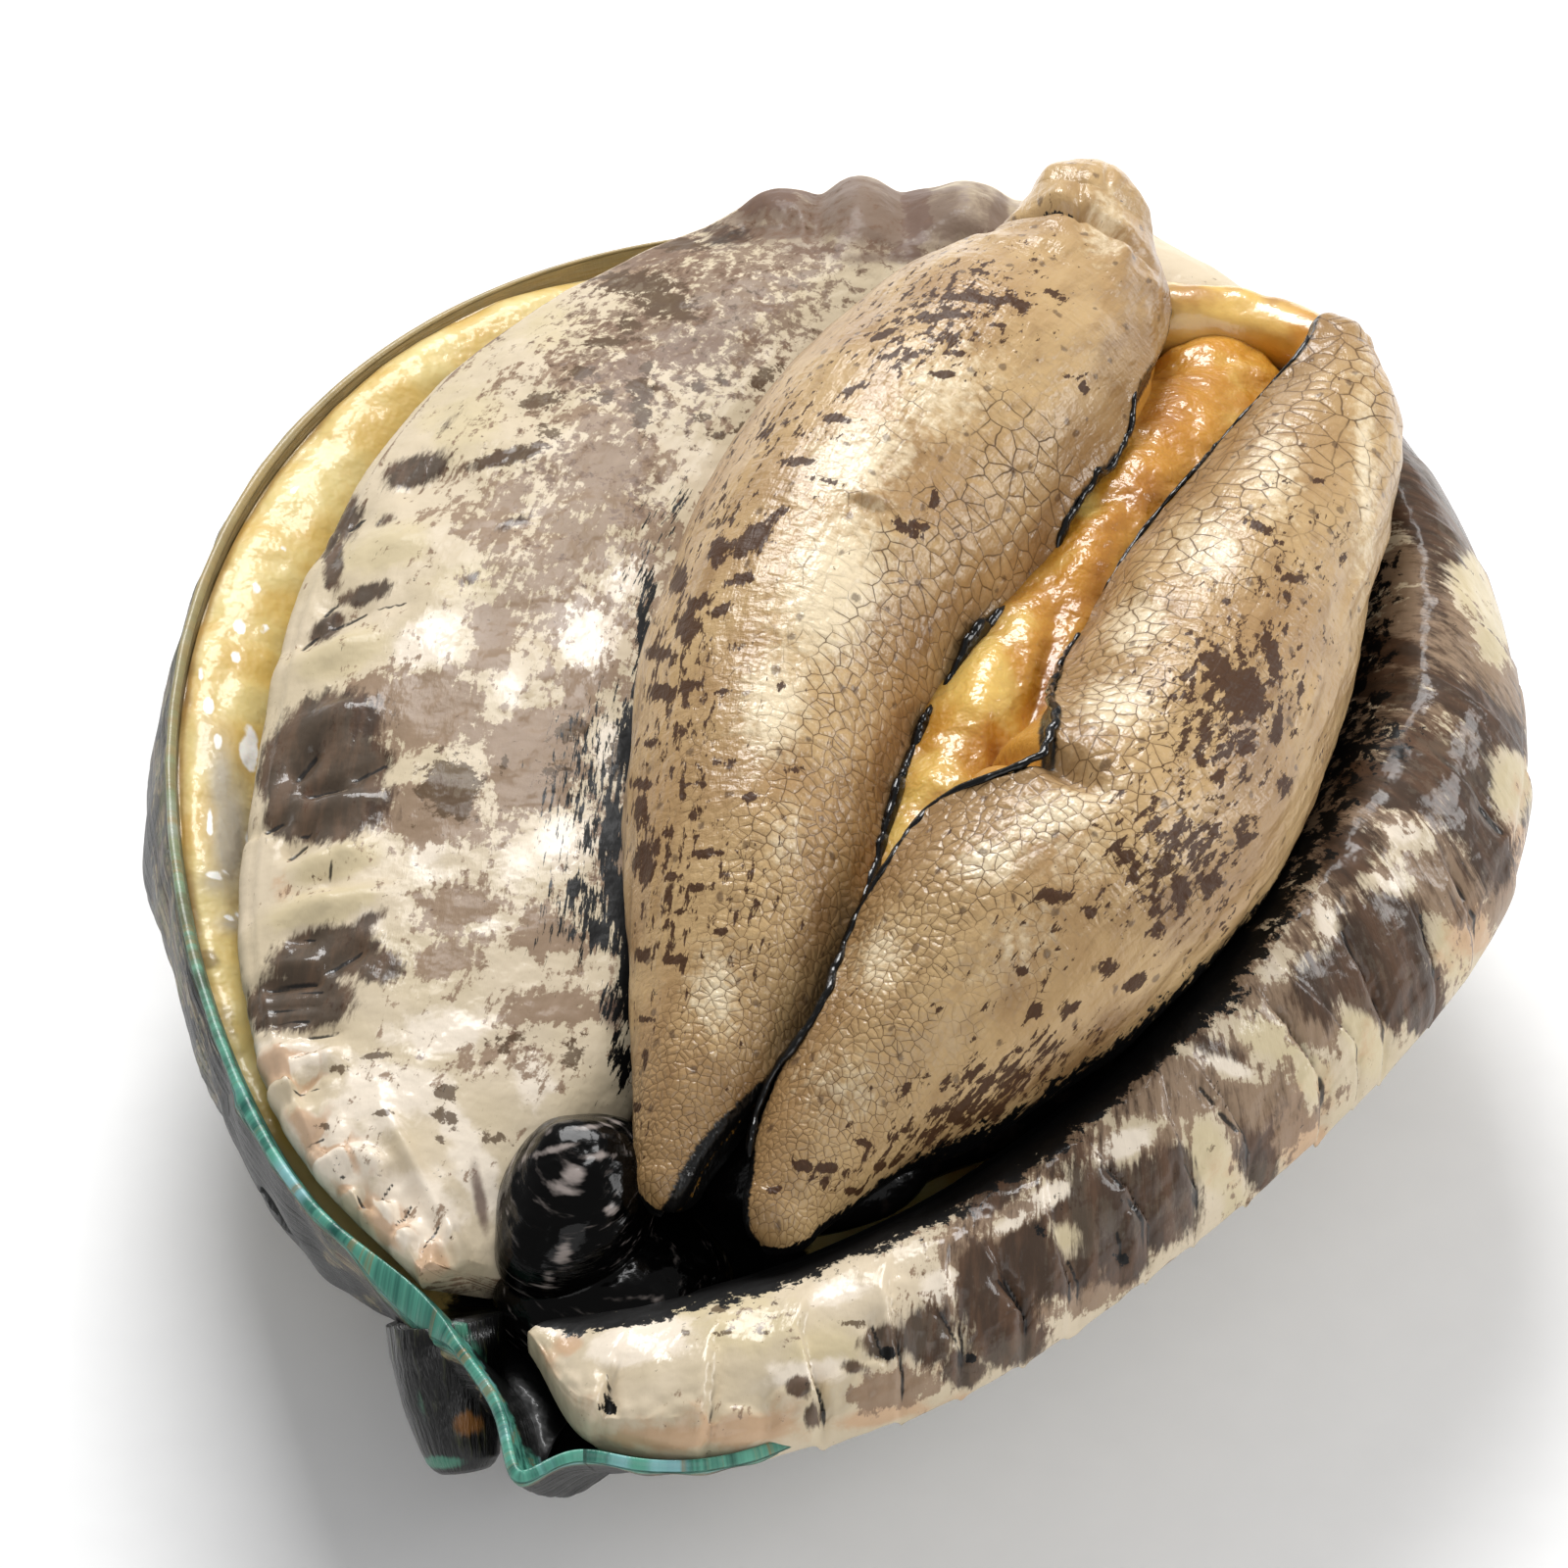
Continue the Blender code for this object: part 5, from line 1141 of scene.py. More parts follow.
# the black edge of the skin: millimetres along the lobe and degrees round it
leftEdge = ((-4, 75), (0.6, 64), (3.1, 45), (5.7, 27), (8.2, 13), (10.7, 1), (13.3, 9),
            (15.8, 14), (18.3, 14), (20.9, 9), (23.4, 8), (25.9, 9), (28.5, 5), (31, 5),
            (33.6, 2), (36.1, 4), (38.6, 10), (41.2, 10), (43.7, 5), (46.2, 2), (48.8, 4),
            (51.3, 16), (53.9, 18), (56.4, 16), (58.9, 14), (61.5, 20), (64, 20), (68, 4),
            (72, -14), (76, -30), (84, -42))
rightEdge = ((-4, 120), (0, 130), (2.4, 150), (4.8, 146), (7.2, 122), (9.6, 124), (12, 142),
             (14.4, 149), (16.8, 139), (19.2, 136), (21.6, 146), (24, 112), (26.4, 103),
             (28.8, 114), (31.2, 129), (33.6, 138), (35.9, 145), (38.3, 152), (40.7, 160),
             (43.1, 166), (45.5, 164), (47.9, 160), (50.3, 160), (52.7, 158), (55.1, 146),
             (57.5, 148), (59.9, 160), (62.3, 158), (64.7, 156), (67.1, 142), (69.5, 120),
             (71.8, 124), (76, 124))
# brown marks: x, y, half width, half height in photo pixels, tilt and strength
leftMarks = ((733, 560, 9, 22, 10, 1.1), (768, 550, 28, 12, -40, 1.2), (755, 592, 20, 8, -20, .8),
             (712, 615, 14, 9, -20, 1.0), (735, 622, 12, 6, -20, .9), (850, 425, 24, 6, 10, .8),
             (815, 470, 20, 6, 0, .8), (925, 540, 20, 6, 30, .9), (937, 535, 14, 7, 0, .8),
             (955, 510, 8, 13, 0, .8), (700, 530, 10, 12, 0, .8), (1000, 304, 56, 5, 5, 1.1),
             (1045, 311, 14, 7, 0, .9), (960, 320, 40, 4, 0, .9), (930, 362, 18, 5, -20, .9),
             (978, 358, 16, 4, 0, .8), (900, 340, 20, 5, -30, .8), (960, 380, 20, 5, 0, .8),
             (900, 364, 16, 4, -20, .7), (1000, 276, 14, 4, 20, .7), (1015, 331, 13, 4, 0, .8),
             (1085, 385, 9, 4, 0, .7), (1103, 396, 6, 11, 0, .8), (700, 640, 14, 18, 0, 1.1),
             (670, 665, 20, 9, 0, 1.0), (675, 705, 17, 10, 0, 1.1), (702, 700, 18, 7, -20, .9),
             (735, 705, 15, 4, 0, .8), (728, 626, 12, 6, 0, .8), (665, 760, 10, 6, 0, .8),
             (655, 800, 17, 6, 0, .9), (705, 800, 18, 4, 0, .8), (655, 830, 9, 18, 0, .9),
             (705, 830, 6, 8, 0, .8), (660, 880, 12, 26, 0, 1.0), (720, 870, 20, 6, 0, .9),
             (690, 895, 15, 7, 0, .9), (716, 905, 14, 5, 0, .9), (690, 930, 20, 4, 0, .8),
             (735, 950, 8, 5, 0, 1.1), (685, 978, 13, 5, 0, 1.1), (765, 815, 9, 5, 0, 1.0),
             (810, 785, 13, 5, 0, .8), (655, 975, 8, 8, 0, .9), (660, 1040, 11, 4, 0, .9),
             (658, 1080, 5, 11, 0, .8), (652, 1130, 5, 6, 0, .9), (800, 700, 10, 6, 0, .6),
             (780, 440, 16, 6, -30, .7), (870, 395, 22, 5, -25, .7), (800, 520, 14, 5, -30, .6),
             (720, 480, 8, 16, 20, .7), (690, 590, 10, 18, 15, .9), (750, 660, 14, 5, 0, .5),
             (840, 490, 30, 4, 10, .6), (1080, 300, 16, 5, 20, .7), (1060, 350, 14, 4, 0, .6),
             (745, 780, 8, 8, 0, .6), (700, 750, 10, 10, 0, .6), (680, 850, 10, 8, 0, .7),
             (690, 700, 60, 190, 0, .34), (960, 320, 120, 60, -25, .44), (730, 520, 60, 60, 0, .34),
             (680, 900, 40, 140, 0, .36), (790, 430, 70, 60, -30, .32), (760, 900, 60, 120, 0, .24))
rightMarks = ((1240, 680, 22, 11, 30, 1.2), (1265, 700, 24, 24, 0, 1.1),
              (1277, 715, 13, 24, 0, 1.1), (1290, 650, 8, 11, 0, .9), (1300, 670, 9, 27, -20, 1.0),
              (1255, 722, 20, 9, 0, .9), (1305, 742, 8, 26, 0, .9), (1270, 762, 11, 12, 0, .9),
              (1245, 762, 7, 8, 0, .8), (1245, 796, 6, 13, 0, .9), (1320, 590, 11, 8, 0, .8),
              (1285, 540, 15, 6, 20, .9), (1305, 556, 9, 4, 0, .8), (1345, 492, 8, 4, 0, .8),
              (1250, 612, 9, 4, 0, .7), (1225, 745, 6, 5, 0, .8), (1150, 876, 20, 5, 45, .9),
              (1155, 896, 5, 8, 0, .8), (1165, 915, 7, 5, 0, .7), (1205, 905, 12, 17, 0, 1.1),
              (1200, 861, 8, 13, 0, .9), (1230, 841, 9, 8, 0, .8), (1075, 915, 19, 9, 0, .9),
              (1110, 930, 9, 8, 0, .9), (1040, 990, 9, 6, 0, .8), (1055, 1030, 9, 8, 0, 1.0),
              (1040, 1070, 8, 6, 0, .8), (820, 1190, 10, 6, 0, 1.2), (845, 1192, 11, 6, 0, 1.2),
              (842, 1206, 6, 8, 0, 1.0), (788, 1213, 9, 5, 0, .9), (925, 1110, 5, 8, 0, .9),
              (880, 1166, 15, 4, 20, .9), (975, 1140, 11, 10, 0, 1.0), (1180, 815, 13, 6, 0, .7),
              (1000, 1090, 8, 5, 0, .7), (1130, 985, 12, 10, -30, .8), (1180, 950, 12, 10, -30, .8),
              (1090, 1030, 14, 8, -30, .8), (1160, 1000, 16, 8, -40, .9), (960, 1030, 8, 5, 0, .5),
              (900, 1190, 14, 5, 0, .7), (1270, 850, 10, 20, 20, .8), (1310, 800, 8, 20, 10, .7),
              (1330, 700, 8, 26, 5, .6), (1370, 560, 7, 30, 0, .5), (1235, 905, 12, 20, 30, .8),
              (870, 1215, 16, 5, 0, .8), (1250, 720, 80, 110, 20, .50),
              (1200, 880, 90, 80, -40, .50), (1000, 1120, 150, 40, -30, .54),
              (1310, 600, 50, 120, 0, .30), (860, 1200, 60, 20, 0, .34),
              (1050, 960, 90, 60, -40, .24))
# painted highlights on the lobes' wet tops and painted shade on their flanks
lobeHighlightMarks = ((850, 600, 55, 90, 15, 1.0), (875, 470, 70, 46, -30, .8), (790, 720, 36, 60, 10, .9),
            (960, 400, 70, 50, -40, .6), (730, 1010, 30, 50, 0, .7), (800, 860, 24, 50, 10, .5),
            (1160, 640, 36, 30, -30, .9), (1140, 720, 44, 34, 0, .8), (1230, 560, 44, 40, 0, .7),
            (1080, 830, 70, 26, -20, .8), (1010, 880, 40, 26, -20, .8), (1300, 480, 30, 60, 0, .7),
            (900, 980, 30, 50, 20, .6), (1100, 870, 60, 40, -30, .4), (1130, 230, 24, 40, 0, .6),
            (1390, 480, 12, 120, 0, .7), (860, 1110, 50, 50, 0, .4), (1040, 960, 60, 40, -40, .4))
lobeShadeMarks = ((672, 800, 26, 160, 5, .15), (700, 600, 30, 50, 20, .3), (1060, 560, 26, 90, 20, .7),
            (960, 640, 40, 60, 40, .6), (900, 780, 34, 80, 20, .7), (840, 960, 30, 90, 20, .6),
            (1290, 740, 50, 110, 10, .6), (1200, 930, 80, 60, -40, .6),
            (1100, 1080, 120, 30, -35, .7), (760, 1120, 40, 60, 30, .5), (1130, 380, 20, 60, 0, .5),
            (1110, 600, 16, 80, 20, .4), (880, 870, 26, 50, 20, .5), (670, 1100, 30, 80, 0, .4),
            (1000, 330, 60, 30, 0, .3))
# soft raised and sunken spots of the lobes: as above, with heights in millimetres
lobeLumps = ((890, 508, 16, 7, 12, .45), (884, 516, 26, 4, 12, -.22), (1170, 592, 20, 24, 0, .40),
             (1170, 618, 22, 4, 0, -.15), (1150, 570, 5, 20, 0, -.12), (1145, 262, 12, 26, 10, .5),
             (1120, 200, 30, 22, 0, .5), (1080, 205, 14, 22, 0, .4), (1130, 180, 4, 16, 0, -.3),
             (1102, 210, 4, 22, 0, -.35), (1150, 300, 12, 20, 0, .3), (1135, 232, 22, 5, 30, -.3),
             (860, 600, 50, 70, 0, .25), (770, 840, 40, 60, 0, .2), (1200, 700, 40, 60, 0, .2))


def tubeRings(stations, along, around, flat=1.0):
    # rings of a tube with rounded ends, and millimetres along it, angle round it and radius
    rows = smoothRows(stations, 300)
    middle, radius = rows[:, :3], rows[:, 3]
    reach = runLength(middle)
    first, last = radius[0], radius[-1]
    line = np.linspace(0.0, 1.0, along + 2)[1:-1]
    share = 0.65 * (0.5 - 0.5 * np.cos(pi * line)) + 0.35 * line
    place = -first + share * (reach[-1] + first + last)
    tangent = unit(np.gradient(middle, axis=0))
    centre = np.stack([np.interp(place, reach, middle[:, k]) for k in range(3)], 1)
    heading = np.stack([np.interp(place, reach, tangent[:, k]) for k in range(3)], 1)
    beyond = np.where(place < 0, place, np.maximum(place - reach[-1], 0))
    centre += heading * beyond[:, None]
    over = beyond / np.where(place < 0, first, last)
    size = np.interp(place, reach, radius) * np.sqrt(np.maximum(1 - over ** 2, 0))
    side = unit(np.cross(heading, (0, 0, 1)))
    up = np.cross(side, heading)
    turn = np.arange(around) * fullTurn / around
    rings = (centre[:, None] + size[:, None, None]
             * (np.cos(turn)[None, :, None] * side[:, None]
                + flat * np.sin(turn)[None, :, None] * up[:, None]))
    return rings, place, turn, size


def edgeTurn(place, edgeLine):
    # degrees round the lobe where its edge lies, smoothed along a millimetre or so
    at, edgeAt = np.array(edgeLine, float).T
    near = footLook["blurs"]
    return sum(np.interp(place + shift, at, edgeAt) for shift in near) / len(near)


def skinFinish():
    s = footLook
    f = Finish("footSkin", Roughness=0.5, Coat_Roughness=0.08, Specular_IOR_Level=0.2)
    flat = f.place()
    colour = f.mix(f.ramp(f.noise(flat, 0.11, 3.0), 0.36, 0.60), s["tan"], s["cream"])
    stain = f.noise(f.place("place", (0.5, 1.4, 1)), 0.5, 4.0, 0.6)
    leather = f.noise(f.swirl(flat, 0.8, 0.5), 1.5, 5.0, 0.62)
    colour = f.mix(f.ramp(stain, 0.45, 0.7, 0, 0.45), colour, s["ochre"])
    # painted shade: ochre darkening towards the cleft
    near = f.ramp(f.layer("edge"), 5.0, 0.0)
    colour = f.mix(f.times(near, 0.62), colour, s["ochre"])
    # painted shade on the flanks, then painted highlights on the tops
    colour = f.paint(colour, s["flankShade"], "shaded", stain, 1.0, 0.4, 0.8)
    colour = f.paint(colour, s["ivory"], "pale", leather, 1.4, 0.35)
    # a net of fine dark cracks towards the cleft, in bits along its lines
    bent = f.swirl(f.place("net"), 0.8, 0.42)
    cell = f.cells(bent, 1.0)
    thin = f.ramp(f.noise(flat, 0.6, 2.0), 0.3, 0.7, 0.03, 0.075)
    crack = f.maths("SUBTRACT", 1.0, f.ramp(cell, 0.006, thin))
    broken = f.ramp(f.sum(f.noise(flat, 0.45, 4.0, 0.6), f.layer("crackle")), 0.68, 1.05)
    colour = f.mix(f.times(crack, broken, 0.9), colour, s["crack"])
    halo = f.times(f.ramp(cell, 0.25, 0.0), f.layer("crackle"), 0.35)
    colour = f.mix(halo, colour, s["ochre"])
    # brown marks made of strokes along the lobe, with paler ones round them
    stroke = f.noise(f.swirl(f.place("place", (0.7, 1.5, 1)), 1.2, 0.6), 1.15, 4.0, 0.68)
    pale = f.ragged("mark", stroke, 2.0, 0.42, 0.10)
    colour = f.mix(f.times(pale, 0.45), colour, s["umber"])
    mark = f.ragged("mark", stroke, 2.3, 0.44, 0.06)
    colour = f.mix(f.times(mark, 0.92), colour, s["brown"])
    dots = f.cells(f.swirl(flat, 0.6, 1.0), 0.32, "F1")
    dot = f.maths("SUBTRACT", 1.0, f.ramp(f.sum(dots, f.times(stroke, 0.25)), 0.16, 0.22))
    colour = f.mix(f.times(dot, 0.6), colour, s["brown"])
    # below its edge the lobe is bare flesh, and the edge itself is black
    rag = f.noise(f.place("place", (2.2, 0.7, 1)), 1.3, 4.0, 0.7)
    side = f.sum(f.layer("edge"), f.times(rag, 0.8))
    colour = f.mix(f.ramp(side, -0.5, -0.9), colour, s["flesh"])
    rim = f.times(f.ramp(side, -1.1, -0.7), f.ramp(side, 0.75, 0.50))
    colour = f.mix(rim, colour, s["black"])
    grain = f.noise(f.swirl(flat, 0.9, 0.8), 0.9, 5.0, 0.75)
    colour = f.paint(colour, s["black"], "soot", grain, 2.4, 0.06)
    cushion = f.times(f.ramp(cell, 0.0, 0.4), f.layer("crackle"))
    bump = f.relief(f.sum(f.times(cushion, 0.7), f.times(leather, 0.9)), 0.08)
    # marks and cracks are dull
    dull = f.maths("MAXIMUM", mark, f.times(crack, broken))
    f.feed(f.surface.inputs["Coat Weight"], f.ramp(dull, 0.0, 0.8, 0.62, 0.06))
    dimple = f.noise(f.swirl(f.place("place", (1.4, 0.7, 1)), 0.8, 0.8), 1.3, 3.0)
    bump = f.relief(dimple, 0.12, bump)
    wrinkle = f.noise(f.place("place", (0.35, 1.3, 1)), 0.8, 4.0, 0.55)
    return f.done(colour, f.relief(wrinkle, 0.18, bump))


def lobe(name, stations, edgeLine, marks, left, finish, folded):
    # edge is the distance from the lobe's edge over its skin, across the one from its ridge
    s = footLook
    rings, place, turn, size = tubeRings(stations, s["along"], s["around"])
    along = perRing(place, s["around"])
    degrees = perSpoke(np.degrees(turn), s["along"])
    radius = perRing(np.maximum(size, 0.5), s["around"])
    # degrees run from under the lobe, over its skin, so that they don't jump on the skin
    degrees = (degrees + 110) % 360 - 110 if left else (degrees + 70) % 360 - 70
    edgeDegrees = edgeTurn(along, edgeLine)
    edge = radians(1) * radius * (degrees - edgeDegrees if left else edgeDegrees - degrees)
    across = radians(1) * radius * (degrees - 90)
    normal = outwards(rings)
    seen = photoPlace(rings)
    facing = ease(normal @ lookBack(), 0.0, 0.25)
    relief, mark, soot, crackle = folded(along, degrees, across, edge, rings)
    relief += (softNoise(rings, 6.0, 51) * s["softDepth"]
               + softNoise(rings, 2.4, 53, 2) * s["fineDepth"])
    relief += s["roll"] * np.exp(-((edge - 0.2) / 0.5) ** 2) * ease(along, 4, 9)
    relief -= s["undercut"] * ease(-edge, 0.3, 1.2)
    relief += sum(ovals(seen, lobeLumps)) * facing
    mark = np.maximum(mark * (1 - 0.5 * facing), strongest(seen, marks) * facing)
    # the net's cells get smaller towards the front
    sizes = np.interp(place, *s["netSizes"])
    steps = np.diff(place, prepend=place[0])
    net = sheet(perRing(np.cumsum(steps / sizes), s["around"]) * s["netStretch"],
                across / sizes[:, None])
    relief += s["netDepth"] * np.minimum(cellNoise(net, 1.0, 57)[1], 0.5) * crackle
    rings = rings + normal * relief[..., None]
    shaded = strongest(seen, lobeShadeMarks) * facing + s["hiddenShade"] * (1 - facing)
    makePiece(name, rings, finish, "foot", ["foot"], place=sheet(along, across), edge=edge,
              mark=mark, soot=soot, crackle=crackle, net=net, shaded=shaded,
              pale=strongest(seen, lobeHighlightMarks) * facing)


def leftFolds(along, degrees, across, edge, rings):
    # a deep crease with a knob behind it at the rear
    s = leftLook
    crease = s["creaseAt"] + s["creaseBend"] * np.sin(np.radians(degrees))
    cut = np.exp(-((along - crease) / s["creaseWidth"]) ** 2)
    relief = -s["creaseDepth"] * cut * ease(degrees, 10, 60)
    relief += s["knob"] * softNoise(rings, 1.9, 61, 2) * ease(along, 63, 68)
    wrinkle = softNoise(sheet(along * 0.16, across), 0.9, 62, 2)
    relief += s["wrinkles"] * wrinkle * ease(degrees, 110, 150)
    mark = s["marks"] * ease(softNoise(sheet(along * 0.35, across), 2.2, 63, 2), 0.05, 0.5)
    mark = mark * ease(degrees, 100, 135) * (1 - ease(along, 60, 66))
    low = np.interp(along, *s["sootFrom"])
    soot = ease(degrees, low - 14, low + 8) * 0.95
    soot = np.maximum(soot, 0.76 * np.exp(-((along - crease) / 0.35) ** 2)
                      * ease(degrees, 60, 100))
    soot = np.maximum(soot, ease(-edge, 0.8, 1.6) * (1 - ease(along, 17, 22)))
    crackle = (1 - ease(edge, 5.0, 12.0)) * ease(edge, -0.3, 0.3)
    crackle = np.maximum(crackle, 0.28 * (1 - ease(edge, 13, 19)))
    crackle *= (1 - 0.9 * ease(along, 47, 58)) * (0.75 + 0.25 * ease(along, 8, 22))
    return relief, mark, soot, crackle


def rightFolds(along, degrees, across, edge, rings):
    # a pinch in the edge and long wrinkles on the outer side
    s = rightLook
    pinch = np.exp(-((along - s["pinchAt"] + edge * 0.12) / s["pinchWidth"]) ** 2)
    relief = -s["pinchDepth"] * pinch * (1 - ease(edge, 1, 6))
    wrinkle = softNoise(sheet(along * 0.16, across), 0.9, 67, 2)
    relief += s["wrinkles"] * wrinkle * (1 - ease(degrees, 30, 62)) * ease(along, 18, 30)
    mark = s["marks"] * ease(softNoise(sheet(along * 0.4, across), 1.8, 69, 2), 0.15, 0.6)
    mark = mark * (1 - ease(degrees, 40, 90))
    low = np.interp(along, *s["sootFrom"])
    soot = (1 - ease(degrees, low - 12, low + 26)) * 0.95
    soot = np.maximum(soot, ease(-edge, 0.8, 1.6) * (1 - ease(along, 15, 20)))
    crackle = (1 - ease(edge, 4.5, 11.0)) * ease(edge, -0.3, 0.3)
    crackle = np.maximum(crackle, 0.36 * (1 - ease(edge, 11, 17)))
    crackle *= 0.65 + 0.35 * ease(along, 8, 20)
    return relief, mark, soot, crackle


ribbonLook = {"along": 600, "around": 14, "lift": 0.42, "shake": 3.0, "ragged": 0.40,
              "highest": 0.45, "flat": 0.8, "lumps": 0.08, "leastWidth": 0.02,
              "ridge": tint(.09, .07, .06), "black": tint(.02, .018, .017), "grain": 900.0}
# millimetres along each lobe and the roll's half width there
leftWidths = ((0, .3), (14, .40), (18, .50), (24, .62), (30, .72), (36, .76), (39, .80),
              (43, .72), (46, .44), (50, .26), (70, .2))
rightWidths = ((0, .3), (8, .3), (16, .25), (24, .24), (27, .30), (34, .25), (40, .2), (70, .16))


def edgeRibbon(stations, edgeLine, span, widths, seed, left):
    # the glossy black edge as a thin ragged roll lying on the lobe
    s = ribbonLook
    rings, place, turn, size = tubeRings(stations, s["along"], 8)
    centre = rings.mean(1)
    side = rings[:, 0] - centre
    up = rings[:, 2] - centre
    degrees = edgeTurn(place, edgeLine)
    shake = softNoise(sheet(place, place * 0), 1.1, seed, 2)
    degrees = degrees + shake * s["shake"] * (-1 if left else 1)
    direction = (np.cos(np.radians(degrees))[:, None] * side
                 + np.sin(np.radians(degrees))[:, None] * up)
    path = centre + direction * (1 + s["lift"] / np.maximum(size, 1))[:, None]
    keep = (place > span[0]) & (place < span[1])
    path, place, out = path[keep], place[keep], unit(direction[keep])
    heading = unit(np.gradient(path, axis=0))
    across = unit(np.cross(heading, out))
    wide = np.interp(place, *np.array(widths, float).T)
    wide = wide * (1 + s["ragged"] * softNoise(sheet(place, place * 0 + 3), 0.7, seed + 5, 2))
    taper = np.sqrt(np.clip((place - span[0]) * 1.2, 0.0004, 1)
                    * np.clip((span[1] - place) * 1.2, 0.0004, 1))
    wide = np.maximum(wide * taper, s["leastWidth"])
    angle = np.arange(s["around"]) * fullTurn / s["around"]
    tube = (path[:, None] + np.cos(angle)[None, :, None] * across[:, None] * wide[:, None, None]
            + np.sin(angle)[None, :, None] * out[:, None]
            * np.minimum(wide, s["highest"])[:, None, None] * s["flat"])
    lumps = softNoise(tube, 0.9, seed + 9, 2) * s["lumps"] * np.minimum(wide, 0.5)[:, None]
    return tube + outwards(tube) * lumps[..., None]


def blackFinish():
    s = ribbonLook
    f = Finish("blackEdge", Roughness=0.22, Coat_Weight=0.4, Coat_Roughness=0.06,
               Specular_IOR_Level=0.2)
    ridge = f.noise(f.node("ShaderNodeTexCoord").outputs["Object"], s["grain"], 3.0)
    colour = f.mix(f.ramp(ridge, 0.55, 0.75), s["black"], s["ridge"])
    return f.done(colour, f.relief(ridge, 0.15))


def buildFoot():
    finish = skinFinish()
    lobe("leftLobe", leftRows, leftEdge, leftMarks, True, finish, leftFolds)
    lobe("rightLobe", rightRows, rightEdge, rightMarks, False, finish, rightFolds)
    black = blackFinish()
    left = edgeRibbon(leftRows, leftEdge, leftLook["roll"], leftWidths, 71, True)
    right = edgeRibbon(rightRows, rightEdge, rightLook["roll"], rightWidths, 75, False)
    makePiece("leftEdgeRibbon", left, black, "foot", ["foot"])
    makePiece("rightEdgeRibbon", right, black, "foot", ["foot"])
    buildFootBase(black)


# the base below the lobes and the wall that joins them at the rear, in rows as the lobes'
baseRows = ((8.0, -25.0, 24.6, 7.0), (10.0, -12.0, 24.2, 14.0), (11.0, 4.0, 24.2, 15.0),
            (12.0, 18.0, 24.4, 15.0), (13.0, 27.0, 25.4, 12.5), (14.0, 32.0, 26.8, 8.0))
rearWallRows = ((9.6, 36.0, 32.4, 2.6), (13.6, 37.6, 32.4, 2.3), (18.6, 38.2, 32.5, 2.1),
                (23.0, 36.4, 33.0, 2.0), (25.0, 32.2, 33.0, 2.0))
baseLook = {"baseRings": 60, "wallRings": 90, "around": 64, "flat": 0.44, "baseLumps": 0.25,
            "lumps": 0.3, "patches": 260.0, "grain": 700.0, "pale": tint(.85, .70, .38),
            "tan": tint(.70, .52, .26), "pocket": tint(.82, .56, .12)}
# the deep yellow bottom of the pocket behind the sole, in photo pixels
pocketMarks = ((1265, 366, 75, 24, -5, 1.1), (1175, 345, 24, 26, 0, .5), (1330, 345, 20, 30, 0, .8))


def buildFootBase(black):
    s = baseLook
    rings = tubeRings(baseRows, s["baseRings"], s["around"], flat=s["flat"])[0]
    rings = pushed(rings, (softNoise(rings, 3.0, 81) * s["baseLumps"])[..., None])
    makePiece("footBase", rings, black, "foot", ["foot"])
    rings = tubeRings(rearWallRows, s["wallRings"], s["around"])[0]
    rings = pushed(rings, (softNoise(rings, 2.2, 83, 2) * s["lumps"])[..., None])
    f = Finish("rearWallSkin", Roughness=0.35, Coat_Weight=0.55, Coat_Roughness=0.06,
               Subsurface_Weight=0.2, Subsurface_Scale=0.0015)
    where = f.node("ShaderNodeTexCoord").outputs["Object"]
    patch = f.ramp(f.noise(where, s["patches"], 3.0), 0.4, 0.6)
    colour = f.mix(patch, s["pale"], s["tan"])
    colour = f.mix(f.layer("inner"), colour, s["pocket"])
    finish = f.done(colour, f.relief(f.noise(where, s["grain"], 3.0), 0.12))
    makePiece("rearWall", rings, finish, "foot", ["foot"],
              inner=strongest(photoPlace(rings), pocketMarks))


# the bare sole in the cleft
soleRows = ((8.8, -14.5, 31.4, 3.0), (10.6, -8.0, 31.8, 5.0), (12.0, 1.5, 32.0, 6.4),
            (13.2, 10.0, 32.0, 6.4), (14.6, 18.0, 32.0, 6.8), (16.4, 26.0, 31.4, 7.4),
            (17.4, 32.8, 31.6, 5.0))
soleLook = {"along": 260, "around": 150, "flat": 0.55, "pebbleSize": 3.0, "pebbles": 0.32,
            "lumps": 0.30, "grains": 0.05, "sink": 0.3, "sideSink": 0.5, "calmSides": 0.6,
            "pale": tint(.86, .71, .37), "yellow": tint(.76, .53, .16),
            "orange": tint(.63, .39, .08)}
# soft lumps of the sole, as on the lobes, and where its flesh is pale or deep orange
soleLumps = ((1000, 705, 30, 46, 10, .9), (960, 800, 30, 26, 0, .8), (925, 850, 20, 24, 0, .5),
             (1040, 640, 24, 34, 20, .6), (1110, 560, 30, 40, 15, .6), (1160, 480, 36, 40, 10, .5),
             (1020, 780, 10, 30, 0, -.7), (1085, 740, 14, 44, 10, .5), (1062, 700, 8, 60, 12, -.6),
             (1240, 360, 60, 14, -10, -.5), (1270, 320, 60, 16, 0, .4), (1045, 780, 20, 10, 0, .4))
solePale = ((1270, 366, 50, 26, -10, .7), (1000, 700, 40, 60, 10, 1.0), (955, 805, 40, 34, 0, .9),
            (920, 860, 26, 40, 0, .8), (1035, 640, 22, 30, 20, .6), (1280, 322, 60, 18, 0, .8),
            (1110, 520, 20, 24, 0, .6))
soleDeep = ((1018, 772, 12, 34, -10, 1.0), (1085, 745, 20, 44, 10, .8), (1055, 780, 24, 12, 0, .9),
            (1130, 560, 20, 50, 15, .7), (1250, 372, 60, 20, -10, .6), (1190, 410, 40, 40, 0, .6),
            (1070, 690, 10, 50, 12, .8), (1170, 500, 24, 30, 0, .6))


